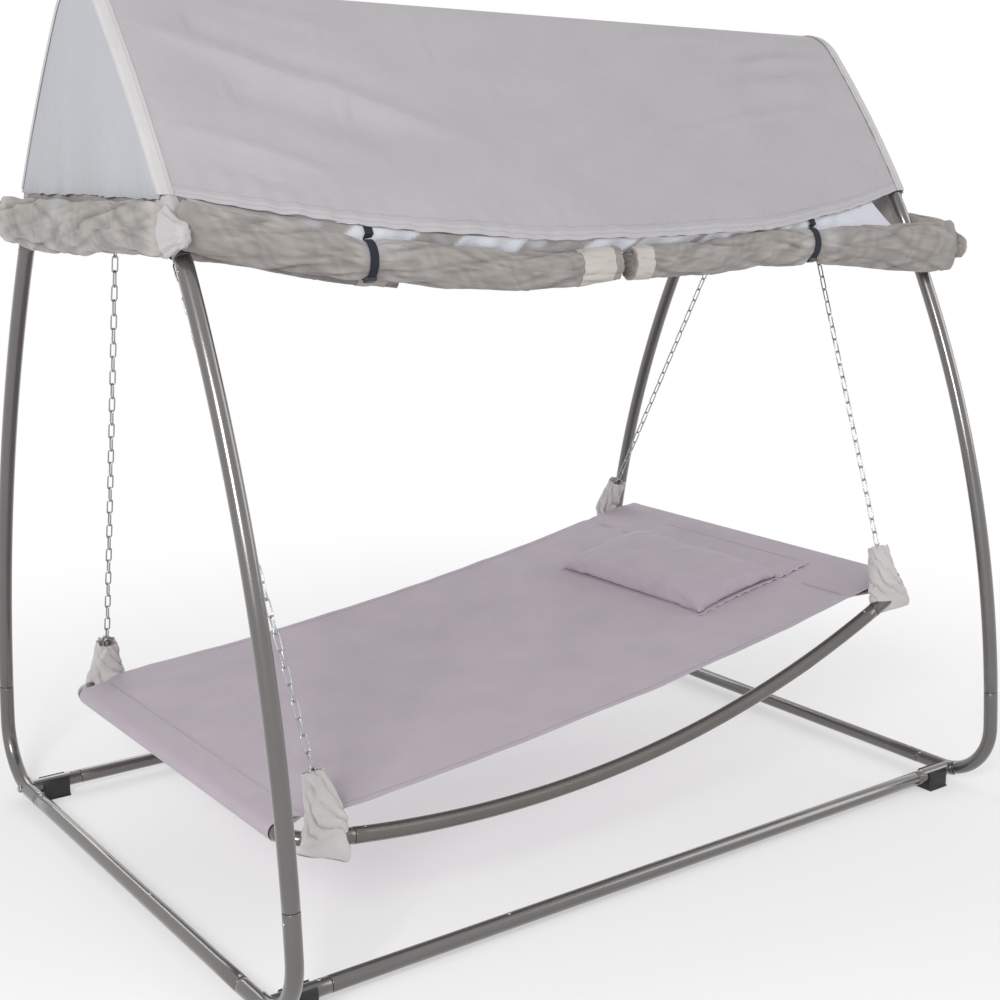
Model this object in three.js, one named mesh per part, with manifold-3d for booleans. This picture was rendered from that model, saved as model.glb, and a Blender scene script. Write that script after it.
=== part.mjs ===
// Canopy hammock: a fabric bed slung on four chains under a gable roof, inside a bolted tube stand.
// Millimetres, +Z up, floor at z = 0. X runs from the foot end (-X) to the head end (+X), and the
// near side is -Y. The stand is symmetric in X and Y. The bed hangs lower at its foot end.
import * as THREE from 'three';
import { mergeVertices } from 'three/addons/utils/BufferGeometryUtils.js';
import Module from 'manifold-3d';

const wasm = await Module();
wasm.setup();

// Steel tube of the stand and of the bed frame
const TUBE_R = 19;
const TUBE_WALL = 1.5;
const TUBE_SIDES = 8;
const BORE_R = TUBE_R - TUBE_WALL;
const SEAT_GAP = 0.3;
const SPIGOT_LENGTH = 55;
const NECK_LENGTH = 8;
const SPIGOT_PLAY = 0.9;
const SPIGOT_R = BORE_R * Math.cos(Math.PI / TUBE_SIDES) - SPIGOT_PLAY;
const SOCKET_LENGTH = SPIGOT_LENGTH + 5;

// Stand: end frames in the YZ plane, joined by two floor rails and a ridge tube
const END_SPACING = 2200;
const FOOT_HEIGHT = 20;
const RAIL_PAST_BEND = 21;
const FLOOR_TUBE_LENGTH = 1184;
const LEG_RADIUS = 3156;
const LEG_HALF_SPREAD = 827;
const LEG_UPRIGHT_Z = 15;
const LEG_FOOT_Z = 301;
const LEG_HEAD_Z = 1539;
const FLOOR_BEND_R = 150;
const APEX_BEND_R = 126;
const STUB_LENGTH = 150;
const RIDGE_PLUG = 38;

// Rail connectors: a coped stub with a curved plate, a bolt along X and a clip-on plastic foot
const SADDLE_PLATE = 3;
const SADDLE_WIDTH = 48;
const SADDLE_DEPTH = 20;
const NUT_PLATE = 10;
const NUT_PLATE_INSET = 28;
const BOLT_R = 4;
const BOLT_HEAD_R = 8;
const BOLT_HEAD = 6;
const CLIP_LENGTH = 72;
const CLIP_INSET = 21;
const CLIP_WALL = 5;
const CLIP_MOUTH = 50;

// Hangers: a welded eye under each end of the ridge and a pear-shaped snap hook
const HANGER_INSET = 73;
const EYE_SHANK_R = 5;
const EYE_COLLAR_R = 9;
const EYE_COLLAR = 4;
const EYE_RING_R = 16;
const EYE_WIRE_R = 4.5;
const HOOK_WIRE_R = 4;
const HOOK_LENGTH = 99;
const HOOK_BAR_HALF = 12;
const HOOK_CORNER_R = 8;

// Chain: welded links, the first round the hook's bar and the last through the corner eye
const LINK_WIRE_R = 2;
const LINK_WIDTH = 17;
const LINK_PITCH = 37.5;
const CHAIN_SPACING = 18;

// Bed frame: two U-shaped end bars and two bowed side tubes
const BED_INSET = 122.5;
const FOOT_BAR_Z = 329;
const HEAD_BAR_Z = 585;
const BOW_SPACING = 1192;
const BAR_CORNER_R = 60;
const BAR_ARM = 148;
const BOW_END_SLOPE = 16.1;
const CORNER_EYE_INSET = 76;
const CORNER_EYE_RING_R = 11;
const CORNER_EYE_WIRE_R = 3.5;
const CORNER_EYE_COLLAR = 2.5;
const CORNER_NUT = 6;

// Corner covers: tapered fabric socks round the chain end, the eye and the tube
const COVER_WALL = 2.5;
const COVER_HEIGHT = 150;
const COVER_DROP = 36;
const COVER_HALF_LENGTH = 62;
const COVER_EASE = 7;
const COVER_MOUTH = 26;

// Bed cloth with a sleeve round each end bar
const CLOTH = 3;
const CLOTH_INSET = 26;
const SLEEVE_INSET = 54;
const CLOTH_WIDENS_FROM = 150;
const CLOTH_WIDENS_TO = 270;
const FOOT_SLEEVE = 130;
const HEAD_SLEEVE = 190;
const CLOTH_SAG = 36;
const CLOTH_DISH = 14;

// Head pillow, sewn to the head sleeve by a flap
const PILLOW_FRONT = 521;
const PILLOW_BACK = 205;
const FLAP_BACK = 78;
const PILLOW_WIDTH = 612;
const PILLOW_CROWN = 40;
const PILLOW_EDGE = 9;
const PILLOW_DRAW_IN = 0.035;
const PILLOW_REST = 1;
const FLAP = 3;

// Roof cloth
const CANOPY = 2.5;
const HEM_Z = 1559;
const HEM_FLARE = 76;
const HEM_END_LIFT = 103;
const HEM_POWER = 2.2;
const GABLE_HEM_RISE = 94;
const GABLE_GAP = 2;
const GABLE_WAVES = 14;
const GABLE_WAVE = 5;
const GABLE_SHEET = 2.3;
const SLOPE_SAG = 9;
const SLOPE_FOLD = 4;
const FOLD_SPREAD = 4;

// Rolled nets and the straps that tie them up
const STRAP = 2;
const STRAP_WIDTH = 20;
const STRAP_NIP = 13;
const STRAP_GAP = 0.5;
const STRAP_TAB = 32;
const STRAP_TAB_GAP = 1.3;
const ROLL_SIDES = 10;
const ROLL_FOLD = 0.07;
const ROLL_TWIST = 67;
const ROLL_OVERHANG = 18;
const END_ROLL_GAP = 0.6;
const FOOT_ROLL_REACH = 67;
const HEAD_ROLL_REACH = 139;

// Values that follow from the sizes above
const END_X = END_SPACING / 2;
const RAIL_LENGTH = END_SPACING - 2 * STUB_LENGTH;
const FLOOR_Z = FOOT_HEIGHT + TUBE_R;
const LEG_CENTRE_Y = LEG_HALF_SPREAD - LEG_RADIUS;
const FLOOR_BEND_Z = FLOOR_Z + FLOOR_BEND_R;
const FLOOR_BEND_Y = LEG_CENTRE_Y + Math.sqrt(
  (LEG_RADIUS - FLOOR_BEND_R) ** 2 - (FLOOR_BEND_Z - LEG_UPRIGHT_Z) ** 2);
const RAIL_Y = FLOOR_BEND_Y + RAIL_PAST_BEND;
const APEX_BEND_Z = LEG_UPRIGHT_Z + Math.sqrt((LEG_RADIUS - APEX_BEND_R) ** 2 - LEG_CENTRE_Y ** 2);
const RIDGE_Z = APEX_BEND_Z + APEX_BEND_R;
const LEG_START = Math.atan2(FLOOR_BEND_Z - LEG_UPRIGHT_Z, FLOOR_BEND_Y - LEG_CENTRE_Y);
const LEG_END = Math.atan2(APEX_BEND_Z - LEG_UPRIGHT_Z, -LEG_CENTRE_Y);
const LEG_FOOT = Math.asin((LEG_FOOT_Z - LEG_UPRIGHT_Z) / LEG_RADIUS);
const LEG_HEAD = Math.asin((LEG_HEAD_Z - LEG_UPRIGHT_Z) / LEG_RADIUS);
const HANGER_X = END_X - HANGER_INSET;
const EYE_RING_Z = RIDGE_Z - TUBE_R - SEAT_GAP - EYE_COLLAR - EYE_RING_R;
const SWING_Z = EYE_RING_Z - EYE_RING_R;
const HOOK_BAR_Z = SWING_Z - HOOK_LENGTH;
const BOW_Y = BOW_SPACING / 2;
const BAR_X = END_X - BED_INSET;
const CLOTH_HALF_WIDTH = BOW_Y - CLOTH_INSET;
const SLEEVE_HALF_WIDTH = BOW_Y - SLEEVE_INSET;
const HEM_HALF_SPREAD = legOutside(HEM_Z) + HEM_FLARE;
const GABLE_HEM_Z = HEM_Z + GABLE_HEM_RISE;

// Bed directions in the side view: along the bed towards the head, and up from it
const BED_PITCH = Math.atan2(HEAD_BAR_Z - FOOT_BAR_Z, 2 * BAR_X);
const BED_LENGTH = Math.hypot(HEAD_BAR_Z - FOOT_BAR_Z, 2 * BAR_X);
const BOW_SLOPE = THREE.MathUtils.degToRad(BOW_END_SLOPE);

const X = new THREE.Vector3(1, 0, 0);
const Y = new THREE.Vector3(0, 1, 0);
const Z = new THREE.Vector3(0, 0, 1);

// Colours and finish of each material
const steel = new THREE.MeshStandardMaterial({ color: 0x77716d, roughness: 0.42, metalness: 0.35 });
const zinc = new THREE.MeshStandardMaterial({ color: 0xc9ccd0, roughness: 0.28, metalness: 1.0 });
const blackPlastic = new THREE.MeshStandardMaterial({ color: 0x1c1c1e, roughness: 0.55, metalness: 0.0 });
const roofCloth = new THREE.MeshStandardMaterial({ color: 0xb6b2b4, roughness: 0.9, metalness: 0.0 });
const net = new THREE.MeshStandardMaterial({ color: 0xaaa096, roughness: 0.85, metalness: 0.0 });
const bedFabric = new THREE.MeshStandardMaterial({ color: 0xb2a6b0, roughness: 0.92, metalness: 0.0 });
const coverFabric = new THREE.MeshStandardMaterial({ color: 0xc3bcb6, roughness: 0.92, metalness: 0.0 });
const webbing = new THREE.MeshStandardMaterial({ color: 0x1f2430, roughness: 0.8, metalness: 0.0 });

const object = new THREE.Group();

function place(name, geometry, material, position = new THREE.Vector3()) {
  const mesh = new THREE.Mesh(geometry, material.clone());
  mesh.name = name;
  mesh.position.copy(position);
  object.add(mesh);
}

// Solids: a closed geometry becomes a solid whose faces point out, and back
function signedVolume(points, faces) {
  const a = new THREE.Vector3();
  const b = new THREE.Vector3();
  const c = new THREE.Vector3();
  let sum = 0;
  for (let i = 0; i < faces.length; i += 3) {
    a.fromArray(points, 3 * faces[i]);
    b.fromArray(points, 3 * faces[i + 1]);
    c.fromArray(points, 3 * faces[i + 2]);
    sum += a.dot(b.cross(c));
  }
  return sum / 6;
}

function toSolid(geometry) {
  const bare = geometry.clone();
  bare.deleteAttribute('normal');
  bare.deleteAttribute('uv');
  const welded = mergeVertices(bare, 1e-4);
  const vertProperties = Float32Array.from(welded.attributes.position.array);
  const triVerts = Uint32Array.from(welded.index.array);
  if (signedVolume(vertProperties, triVerts) < 0) {
    for (let i = 0; i < triVerts.length; i += 3) {
      const first = triVerts[i];
      triVerts[i] = triVerts[i + 1];
      triVerts[i + 1] = first;
    }
  }
  return new wasm.Manifold(new wasm.Mesh({ numProp: 3, vertProperties, triVerts }));
}

function toGeometry(solid) {
  const mesh = solid.getMesh();
  const geometry = new THREE.BufferGeometry();
  geometry.setAttribute('position', new THREE.BufferAttribute(mesh.vertProperties, 3));
  geometry.setIndex(new THREE.BufferAttribute(mesh.triVerts, 1));
  geometry.computeVertexNormals();
  return geometry;
}

function join(...geometries) {
  const [first, ...rest] = geometries.map(toSolid);
  return toGeometry(rest.reduce((sum, solid) => sum.add(solid), first));
}

function cut(geometry, ...tools) {
  return toGeometry(tools.reduce((sum, tool) => sum.subtract(toSolid(tool)), toSolid(geometry)));
}

function common(geometry, tool) {
  return toGeometry(toSolid(geometry).intersect(toSolid(tool)));
}

function mirrored(geometry, signX, signY) {
  return toGeometry(toSolid(geometry.clone().scale(signX, signY, 1)));
}

// A radius whose polygon stays clear of a round part of radius r
function clearOf(r, sides) {
  return (r + SEAT_GAP) / Math.cos(Math.PI / sides);
}

// Routes: points with their directions, one step along a straight and several round a bend
class Route extends THREE.Curve {
  constructor(stations) {
    super();
    this.stations = stations;
  }

  station(u) {
    return this.stations[Math.round(u * (this.stations.length - 1))];
  }

  getPointAt(u, target = new THREE.Vector3()) {
    return target.copy(this.station(u).point);
  }

  getPoint(u, target) {
    return this.getPointAt(u, target);
  }

  getTangentAt(u, target = new THREE.Vector3()) {
    return target.copy(this.station(u).tangent);
  }

  getSpacedPoints(divisions) {
    return Array.from({ length: divisions + 1 }, (_, i) => this.getPointAt(i / divisions));
  }
}

function arc(centre, radius, from, to, steps) {
  const turn = Math.sign(to - from);
  return Array.from({ length: steps + 1 }, (_, i) => {
    const angle = from + (to - from) * i / steps;
    return {
      point: new THREE.Vector2(centre[0] + radius * Math.cos(angle), centre[1] + radius * Math.sin(angle)),
      tangent: new THREE.Vector2(-Math.sin(angle) * turn, Math.cos(angle) * turn),
    };
  });
}

// An arc whose last stretch is short, so that a socket there is nearly straight
function arcToSocket(centre, radius, from, to, steps) {
  const socket = to - Math.sign(to - from) * SOCKET_LENGTH / radius;
  return [...arc(centre, radius, from, socket, steps), ...arc(centre, radius, socket, to, 1)];
}

function straight(from, to) {
  const tangent = new THREE.Vector2(to[0] - from[0], to[1] - from[1]).normalize();
  return [from, to].map((p) => ({ point: new THREE.Vector2(p[0], p[1]), tangent }));
}

// Puts a flat route in space: its first axis along u, its second along v
function inSpace(flat, origin, u, v) {
  const spot = (p) => new THREE.Vector3().addScaledVector(u, p.x).addScaledVector(v, p.y);
  const stations = flat.map(({ point, tangent }) => ({
    point: spot(point).add(origin),
    tangent: spot(tangent).normalize(),
  }));
  return stations.filter((s, i) => i === 0 || s.point.distanceTo(stations[i - 1].point) > 1e-3);
}

function circleShape(radius, sides) {
  const points = Array.from({ length: sides }, (_, i) => {
    const angle = 2 * Math.PI * i / sides;
    return new THREE.Vector2(radius * Math.cos(angle), radius * Math.sin(angle));
  });
  return new THREE.Shape(points);
}

function rod(stations, radius, sides = TUBE_SIDES) {
  const options = { steps: stations.length - 1, extrudePath: new Route(stations) };
  return new THREE.ExtrudeGeometry(circleShape(radius, sides), options);
}

// Circles square to a route, for any radius
function ringsAlong(stations) {
  const route = new Route(stations);
  const frames = route.computeFrenetFrames(stations.length - 1, false);
  return (i, shift, radius) => Array.from({ length: TUBE_SIDES }, (_, k) => {
    const angle = 2 * Math.PI * k / TUBE_SIDES;
    return stations[i].point.clone().addScaledVector(stations[i].tangent, shift)
      .addScaledVector(frames.normals[i], radius * Math.cos(angle))
      .addScaledVector(frames.binormals[i], radius * Math.sin(angle));
  });
}

// A hollow tube as one skin, out along its outside and back along its bore. A swaged end is a
// thinner length past the shoulder, which enters the next tube's bore.
function tube(stations, { startSpigot = 0, endSpigot = 0 } = {}) {
  const ring = ringsAlong(stations);
  const last = stations.length - 1;
  const thin = SPIGOT_R - TUBE_WALL;
  const outside = stations.map((_, i) => ring(i, 0, TUBE_R));
  const bore = stations.map((_, i) => ring(i, 0, BORE_R));
  if (startSpigot) {
    outside.unshift(ring(0, -startSpigot, SPIGOT_R), ring(0, 0, SPIGOT_R));
    bore.splice(0, 1, ring(0, -startSpigot, thin), ring(0, NECK_LENGTH, thin),
      ring(0, NECK_LENGTH + TUBE_WALL, BORE_R));
  }
  if (endSpigot) {
    outside.push(ring(last, 0, SPIGOT_R), ring(last, endSpigot, SPIGOT_R));
    bore.splice(-1, 1, ring(last, -NECK_LENGTH - TUBE_WALL, BORE_R), ring(last, -NECK_LENGTH, thin),
      ring(last, endSpigot, thin));
  }
  return loft([...outside, ...bore.reverse()], true);
}

// A solid through rings of points, all with the same count. It closes with a fan at each end, or
// on itself when the last ring leads back to the first.
function loft(rings, closed = false) {
  const count = rings[0].length;
  const points = rings.flat();
  const faces = [];
  for (let i = 0; i < rings.length - (closed ? 0 : 1); i += 1) {
    for (let j = 0; j < count; j += 1) {
      const a = i * count + j;
      const b = i * count + (j + 1) % count;
      const c = (b + count) % points.length;
      const d = (a + count) % points.length;
      faces.push(a, b, c, a, c, d);
    }
  }
  if (!closed) {
    const lastRing = (rings.length - 1) * count;
    for (let j = 1; j < count - 1; j += 1) {
      faces.push(0, j + 1, j);
      faces.push(lastRing, lastRing + j, lastRing + j + 1);
    }
  }
  const geometry = new THREE.BufferGeometry().setFromPoints(points);
  geometry.setIndex(faces);
  return toGeometry(toSolid(geometry));
}

// A sheet with thickness between two grids of points
function shell(top, bottom) {
  const rows = top.length;
  const columns = top[0].length;
  const points = [...top.flat(), ...bottom.flat()];
  const under = rows * columns;
  const faces = [];
  const quad = (a, b, c, d) => faces.push(a, b, c, a, c, d);
  for (let i = 0; i < rows - 1; i += 1) {
    for (let j = 0; j < columns - 1; j += 1) {
      const a = i * columns + j;
      quad(a, a + columns, a + columns + 1, a + 1);
      quad(under + a, under + a + 1, under + a + columns + 1, under + a + columns);
    }
  }
  const edge = [];
  for (let j = 0; j < columns - 1; j += 1) edge.push(j);
  for (let i = 0; i < rows - 1; i += 1) edge.push(i * columns + columns - 1);
  for (let j = columns - 1; j > 0; j -= 1) edge.push((rows - 1) * columns + j);
  for (let i = rows - 1; i > 0; i -= 1) edge.push(i * columns);
  edge.forEach((a, i) => {
    const b = edge[(i + 1) % edge.length];
    quad(a, b, under + b, under + a);
  });
  const geometry = new THREE.BufferGeometry().setFromPoints(points);
  geometry.setIndex(faces);
  return toGeometry(toSolid(geometry));
}

// A flat outline pushed along X, with its first axis along Y and its second along Z
function plateAlongX(shape, from, to) {
  const plate = new THREE.ExtrudeGeometry(shape, { depth: to - from, bevelEnabled: false });
  plate.applyMatrix4(new THREE.Matrix4().makeBasis(Y, Z, X));
  return plate.translate(from, 0, 0);
}

function cylinderAlong(direction, radius, length, centre, sides = 8) {
  const cylinder = new THREE.CylinderGeometry(radius, radius, length, sides);
  cylinder.applyQuaternion(new THREE.Quaternion().setFromUnitVectors(Y, direction));
  return cylinder.translate(centre.x, centre.y, centre.z);
}

// End frame routes on the +Y side, drawn in the YZ plane
function elbowRoute(x) {
  const floor = straight([FLOOR_TUBE_LENGTH / 2 + SEAT_GAP, FLOOR_Z], [FLOOR_BEND_Y, FLOOR_Z]);
  const bend = arc([FLOOR_BEND_Y, FLOOR_BEND_Z], FLOOR_BEND_R, -Math.PI / 2, LEG_START, 5);
  const rise = arcToSocket([LEG_CENTRE_Y, LEG_UPRIGHT_Z], LEG_RADIUS, LEG_START, LEG_FOOT, 1);
  return inSpace([...floor, ...bend, ...rise], new THREE.Vector3(x, 0, 0), Y, Z);
}

function legRoute(x) {
  const seat = SEAT_GAP / LEG_RADIUS;
  const rise = arcToSocket([LEG_CENTRE_Y, LEG_UPRIGHT_Z], LEG_RADIUS, LEG_FOOT + seat, LEG_HEAD, 4);
  return inSpace(rise, new THREE.Vector3(x, 0, 0), Y, Z);
}

function gableRoute(x) {
  const seat = SEAT_GAP / LEG_RADIUS;
  const up = arc([LEG_CENTRE_Y, LEG_UPRIGHT_Z], LEG_RADIUS, LEG_HEAD + seat, LEG_END, 2);
  const over = arc([0, APEX_BEND_Z], APEX_BEND_R, LEG_END, Math.PI - LEG_END, 6);
  const down = arc([-LEG_CENTRE_Y, LEG_UPRIGHT_Z], LEG_RADIUS, Math.PI - LEG_END,
    Math.PI - LEG_HEAD - seat, 2);
  return inSpace([...up, ...over, ...down], new THREE.Vector3(x, 0, 0), Y, Z);
}

// Distance of the legs' outer face from the middle plane, at a height
function legOutside(z) {
  return LEG_CENTRE_Y + Math.sqrt((LEG_RADIUS + TUBE_R) ** 2 - (z - LEG_UPRIGHT_Z) ** 2);
}

// Height of the elbow's centre line where a floor rail meets it
const RAIL_MEET = Math.asin(RAIL_PAST_BEND / FLOOR_BEND_R);
const RAIL_BOLT_Z = FLOOR_BEND_Z - FLOOR_BEND_R * Math.cos(RAIL_MEET);

function lineAlongX(from, to, y, z) {
  return inSpace(straight([from, 0], [to, 0]), new THREE.Vector3(0, y, z), X, Z);
}

// Short tube on the gable arch's inner side that the ridge tube slides over
function ridgePlug(archStations) {
  const root = END_X - TUBE_R / 2;
  const tip = END_X - TUBE_R - RIDGE_PLUG;
  const plug = new THREE.LatheGeometry([
    new THREE.Vector2(SPIGOT_R - TUBE_WALL, tip),
    new THREE.Vector2(SPIGOT_R, tip),
    new THREE.Vector2(SPIGOT_R, root),
    new THREE.Vector2(SPIGOT_R - TUBE_WALL, root),
    new THREE.Vector2(SPIGOT_R - TUBE_WALL, tip),
  ], TUBE_SIDES);
  plug.applyQuaternion(new THREE.Quaternion().setFromUnitVectors(Y, X)).translate(0, 0, RIDGE_Z);
  return cut(plug, rod(archStations, TUBE_R - TUBE_WALL / 2));
}

function buildStand() {
  const boltHole = cylinderAlong(X, BOLT_R + SEAT_GAP, 3 * TUBE_R,
    new THREE.Vector3(END_X, RAIL_Y, RAIL_BOLT_Z));
  const elbow = cut(tube(elbowRoute(END_X), { startSpigot: SPIGOT_LENGTH }), boltHole);
  const leg = tube(legRoute(END_X), { startSpigot: SPIGOT_LENGTH });
  const floorTube = tube(inSpace(straight([-FLOOR_TUBE_LENGTH / 2, 0], [FLOOR_TUBE_LENGTH / 2, 0]),
    new THREE.Vector3(0, 0, FLOOR_Z), Y, Z));
  const arch = tube(gableRoute(END_X), { startSpigot: SPIGOT_LENGTH, endSpigot: SPIGOT_LENGTH });
  const gable = join(arch, ridgePlug(gableRoute(END_X)));
  for (const [end, signX] of [['foot', -1], ['head', 1]]) {
    place(`${end}_floor_tube`, floorTube, steel, new THREE.Vector3(signX * END_X, 0, 0));
    place(`${end}_gable_arch`, mirrored(gable, signX, 1), steel);
    for (const [side, signY] of [['near', -1], ['far', 1]]) {
      place(`${end}_${side}_elbow`, mirrored(elbow, signX, signY), steel);
      place(`${end}_${side}_leg`, mirrored(leg, signX, signY), steel);
    }
  }
  const railStations = lineAlongX(-RAIL_LENGTH / 2 + SEAT_GAP, RAIL_LENGTH / 2 - SEAT_GAP, 0, 0);
  const rail = tube(railStations, { startSpigot: SPIGOT_LENGTH, endSpigot: SPIGOT_LENGTH });
  place('near_floor_rail', rail, steel, new THREE.Vector3(0, -RAIL_Y, FLOOR_Z));
  place('far_floor_rail', rail, steel, new THREE.Vector3(0, RAIL_Y, FLOOR_Z));

  const ridgeEnd = END_X - TUBE_R - SEAT_GAP;
  const shankHoles = [-HANGER_X, HANGER_X].map((x) =>
    cylinderAlong(Z, EYE_SHANK_R + SEAT_GAP, 3 * TUBE_R, new THREE.Vector3(x, 0, RIDGE_Z)));
  place('ridge_tube', cut(tube(lineAlongX(-ridgeEnd, ridgeEnd, 0, RIDGE_Z)), ...shankHoles), steel);
}

// A stub that the rail plugs into, coped to the elbow, with a curved plate and an inner nut plate
function saddleGeometry() {
  const route = elbowRoute(END_X).slice(0, 5);
  const fit = rod(route, TUBE_R + SEAT_GAP);
  const stub = tube(lineAlongX(RAIL_LENGTH / 2, END_X, RAIL_Y, FLOOR_Z));
  const nutX = END_X - TUBE_R - NUT_PLATE_INSET + NUT_PLATE / 2;
  const nutPlate = cylinderAlong(X, (BORE_R + TUBE_R * Math.cos(Math.PI / TUBE_SIDES)) / 2, NUT_PLATE,
    new THREE.Vector3(nutX, RAIL_Y, FLOOR_Z), TUBE_SIDES);
  const plateR = TUBE_R + SEAT_GAP + SADDLE_PLATE;
  const reach = new THREE.BoxGeometry(SADDLE_DEPTH, SADDLE_WIDTH, 4 * TUBE_R);
  reach.translate(END_X - plateR + SADDLE_DEPTH / 2, RAIL_Y, FLOOR_Z);
  const plate = common(rod(route, plateR), reach);
  const boreEnd = rod(lineAlongX(RAIL_LENGTH / 2, END_X - plateR, RAIL_Y, FLOOR_Z), BORE_R);
  const boltHole = cylinderAlong(X, BOLT_R + SEAT_GAP, 2 * END_X,
    new THREE.Vector3(END_X, RAIL_Y, RAIL_BOLT_Z));
  return cut(join(cut(join(stub, plate), boreEnd), nutPlate), fit, boltHole);
}

function boltGeometry() {
  const outerX = END_X + TUBE_R + SEAT_GAP;
  const innerX = END_X - TUBE_R - NUT_PLATE_INSET;
  const shank = cylinderAlong(X, BOLT_R, outerX - innerX, new THREE.Vector3((outerX + innerX) / 2, 0, 0));
  const head = cylinderAlong(X, BOLT_HEAD_R, BOLT_HEAD,
    new THREE.Vector3(outerX + BOLT_HEAD / 2 - 0.01, 0, 0), 6);
  return join(shank, head);
}

// A C-shaped clip pressed up round the stub, on a block that stands on the floor
function clipGeometry() {
  const mouth = THREE.MathUtils.degToRad(CLIP_MOUTH);
  const inner = clearOf(TUBE_R, 16);
  const outer = inner + CLIP_WALL;
  const right = arc([0, FLOOR_Z], outer, 0, Math.PI / 2 - mouth, 2);
  const hollow = arc([0, FLOOR_Z], inner, Math.PI / 2 - mouth, -3 * Math.PI / 2 + mouth, 12);
  const left = arc([0, FLOOR_Z], outer, Math.PI / 2 + mouth, Math.PI, 2);
  const points = [...right, ...hollow, ...left].map((s) => s.point);
  const outline = new THREE.Shape([...points, new THREE.Vector2(-outer, 0), new THREE.Vector2(outer, 0)]);
  return plateAlongX(outline, -CLIP_LENGTH / 2, CLIP_LENGTH / 2);
}

function buildConnectors() {
  const saddle = saddleGeometry();
  const bolt = boltGeometry();
  const clip = clipGeometry();
  const clipX = END_X - TUBE_R - CLIP_INSET - CLIP_LENGTH / 2;
  for (const [end, signX] of [['foot', -1], ['head', 1]]) {
    for (const [side, signY] of [['near', -1], ['far', 1]]) {
      place(`${end}_${side}_rail_saddle`, mirrored(saddle, signX, signY), steel);
      place(`${end}_${side}_rail_bolt`, mirrored(bolt, signX, 1), zinc,
        new THREE.Vector3(0, signY * RAIL_Y, RAIL_BOLT_Z));
      place(`${end}_${side}_foot`, toGeometry(toSolid(clip)), blackPlastic,
        new THREE.Vector3(signX * clipX, signY * RAIL_Y, 0));
    }
  }
}

// Eye through the ridge tube: its ring stands in the XZ plane
function hangerEyeGeometry() {
  const top = TUBE_R * Math.cos(Math.PI / TUBE_SIDES);
  const bottom = -TUBE_R - SEAT_GAP - EYE_COLLAR;
  const shank = cylinderAlong(Z, EYE_SHANK_R, top - bottom, new THREE.Vector3(0, 0, (top + bottom) / 2));
  const collar = cylinderAlong(Z, EYE_COLLAR_R, EYE_COLLAR,
    new THREE.Vector3(0, 0, bottom + EYE_COLLAR / 2), 12);
  const ring = new THREE.TorusGeometry(EYE_RING_R, EYE_WIRE_R, 6, 14).rotateX(Math.PI / 2);
  ring.translate(0, 0, EYE_RING_Z - RIDGE_Z);
  return join(shank, collar, ring);
}

// Pear-shaped hook in the YZ plane, drawn about the swing axis: a narrow top on the eye's wire
// and a flat bar below for the two chains
function snapHookStations() {
  const topR = EYE_WIRE_R + SEAT_GAP + HOOK_WIRE_R;
  const cornerY = HOOK_BAR_HALF;
  const cornerZ = -HOOK_LENGTH + HOOK_CORNER_R;
  const reach = Math.hypot(cornerY, cornerZ);
  const side = Math.atan2(cornerZ, cornerY) + Math.acos((topR - HOOK_CORNER_R) / reach);
  const top = arc([0, 0], topR, side, Math.PI - side, 6);
  const left = arc([-cornerY, cornerZ], HOOK_CORNER_R, Math.PI - side, 1.5 * Math.PI, 3);
  const right = arc([cornerY, cornerZ], HOOK_CORNER_R, -Math.PI / 2, side, 3);
  return inSpace([...top, ...left, ...right], new THREE.Vector3(), Y, Z);
}

function ringAlong(stations, radius, sides) {
  const closed = [...stations, stations[0]];
  return new THREE.TubeGeometry(new Route(closed), stations.length, radius, sides, true);
}

function buildHangers() {
  const eye = hangerEyeGeometry();
  const hook = toGeometry(toSolid(ringAlong(snapHookStations(), HOOK_WIRE_R, 6)));
  for (const [end, signX] of [['foot', -1], ['head', 1]]) {
    place(`${end}_hanger_eye`, eye, zinc, new THREE.Vector3(signX * HANGER_X, 0, RIDGE_Z));
    place(`${end}_snap_hook`, hook, zinc, new THREE.Vector3(signX * HANGER_X, 0, SWING_Z));
  }
}

// Bed frame, drawn at each end from the end bar's centre: inboard along the bed, and up from it
function bedEnd(signX) {
  const tilt = signX < 0 ? BED_PITCH : -BED_PITCH;
  const inboard = new THREE.Vector3(-signX * Math.cos(tilt), 0, Math.sin(tilt));
  const up = new THREE.Vector3(signX * Math.sin(tilt), 0, Math.cos(tilt));
  const origin = new THREE.Vector3(signX * BAR_X, 0, signX < 0 ? FOOT_BAR_Z : HEAD_BAR_Z);
  const [cos, sin] = [Math.cos(BOW_SLOPE), Math.sin(BOW_SLOPE)];
  const arm = inboard.clone().multiplyScalar(cos).addScaledVector(up, -sin);
  const armUp = up.clone().multiplyScalar(cos).addScaledVector(inboard, sin);
  return { inboard, up, origin, arm, armUp };
}

function endBarStations(signX) {
  const { origin, arm } = bedEnd(signX);
  const inner = BOW_Y - BAR_CORNER_R;
  const quarter = Math.PI / 2;
  const flat = [
    ...straight([BAR_ARM, -BOW_Y], [BAR_CORNER_R, -BOW_Y]),
    ...arc([BAR_CORNER_R, -inner], BAR_CORNER_R, -quarter, -2 * quarter, 3),
    ...arc([BAR_CORNER_R, inner], BAR_CORNER_R, 2 * quarter, quarter, 3),
    ...straight([BAR_CORNER_R, BOW_Y], [BAR_ARM, BOW_Y]),
  ];
  return inSpace(flat, origin, arm, Y);
}

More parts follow.
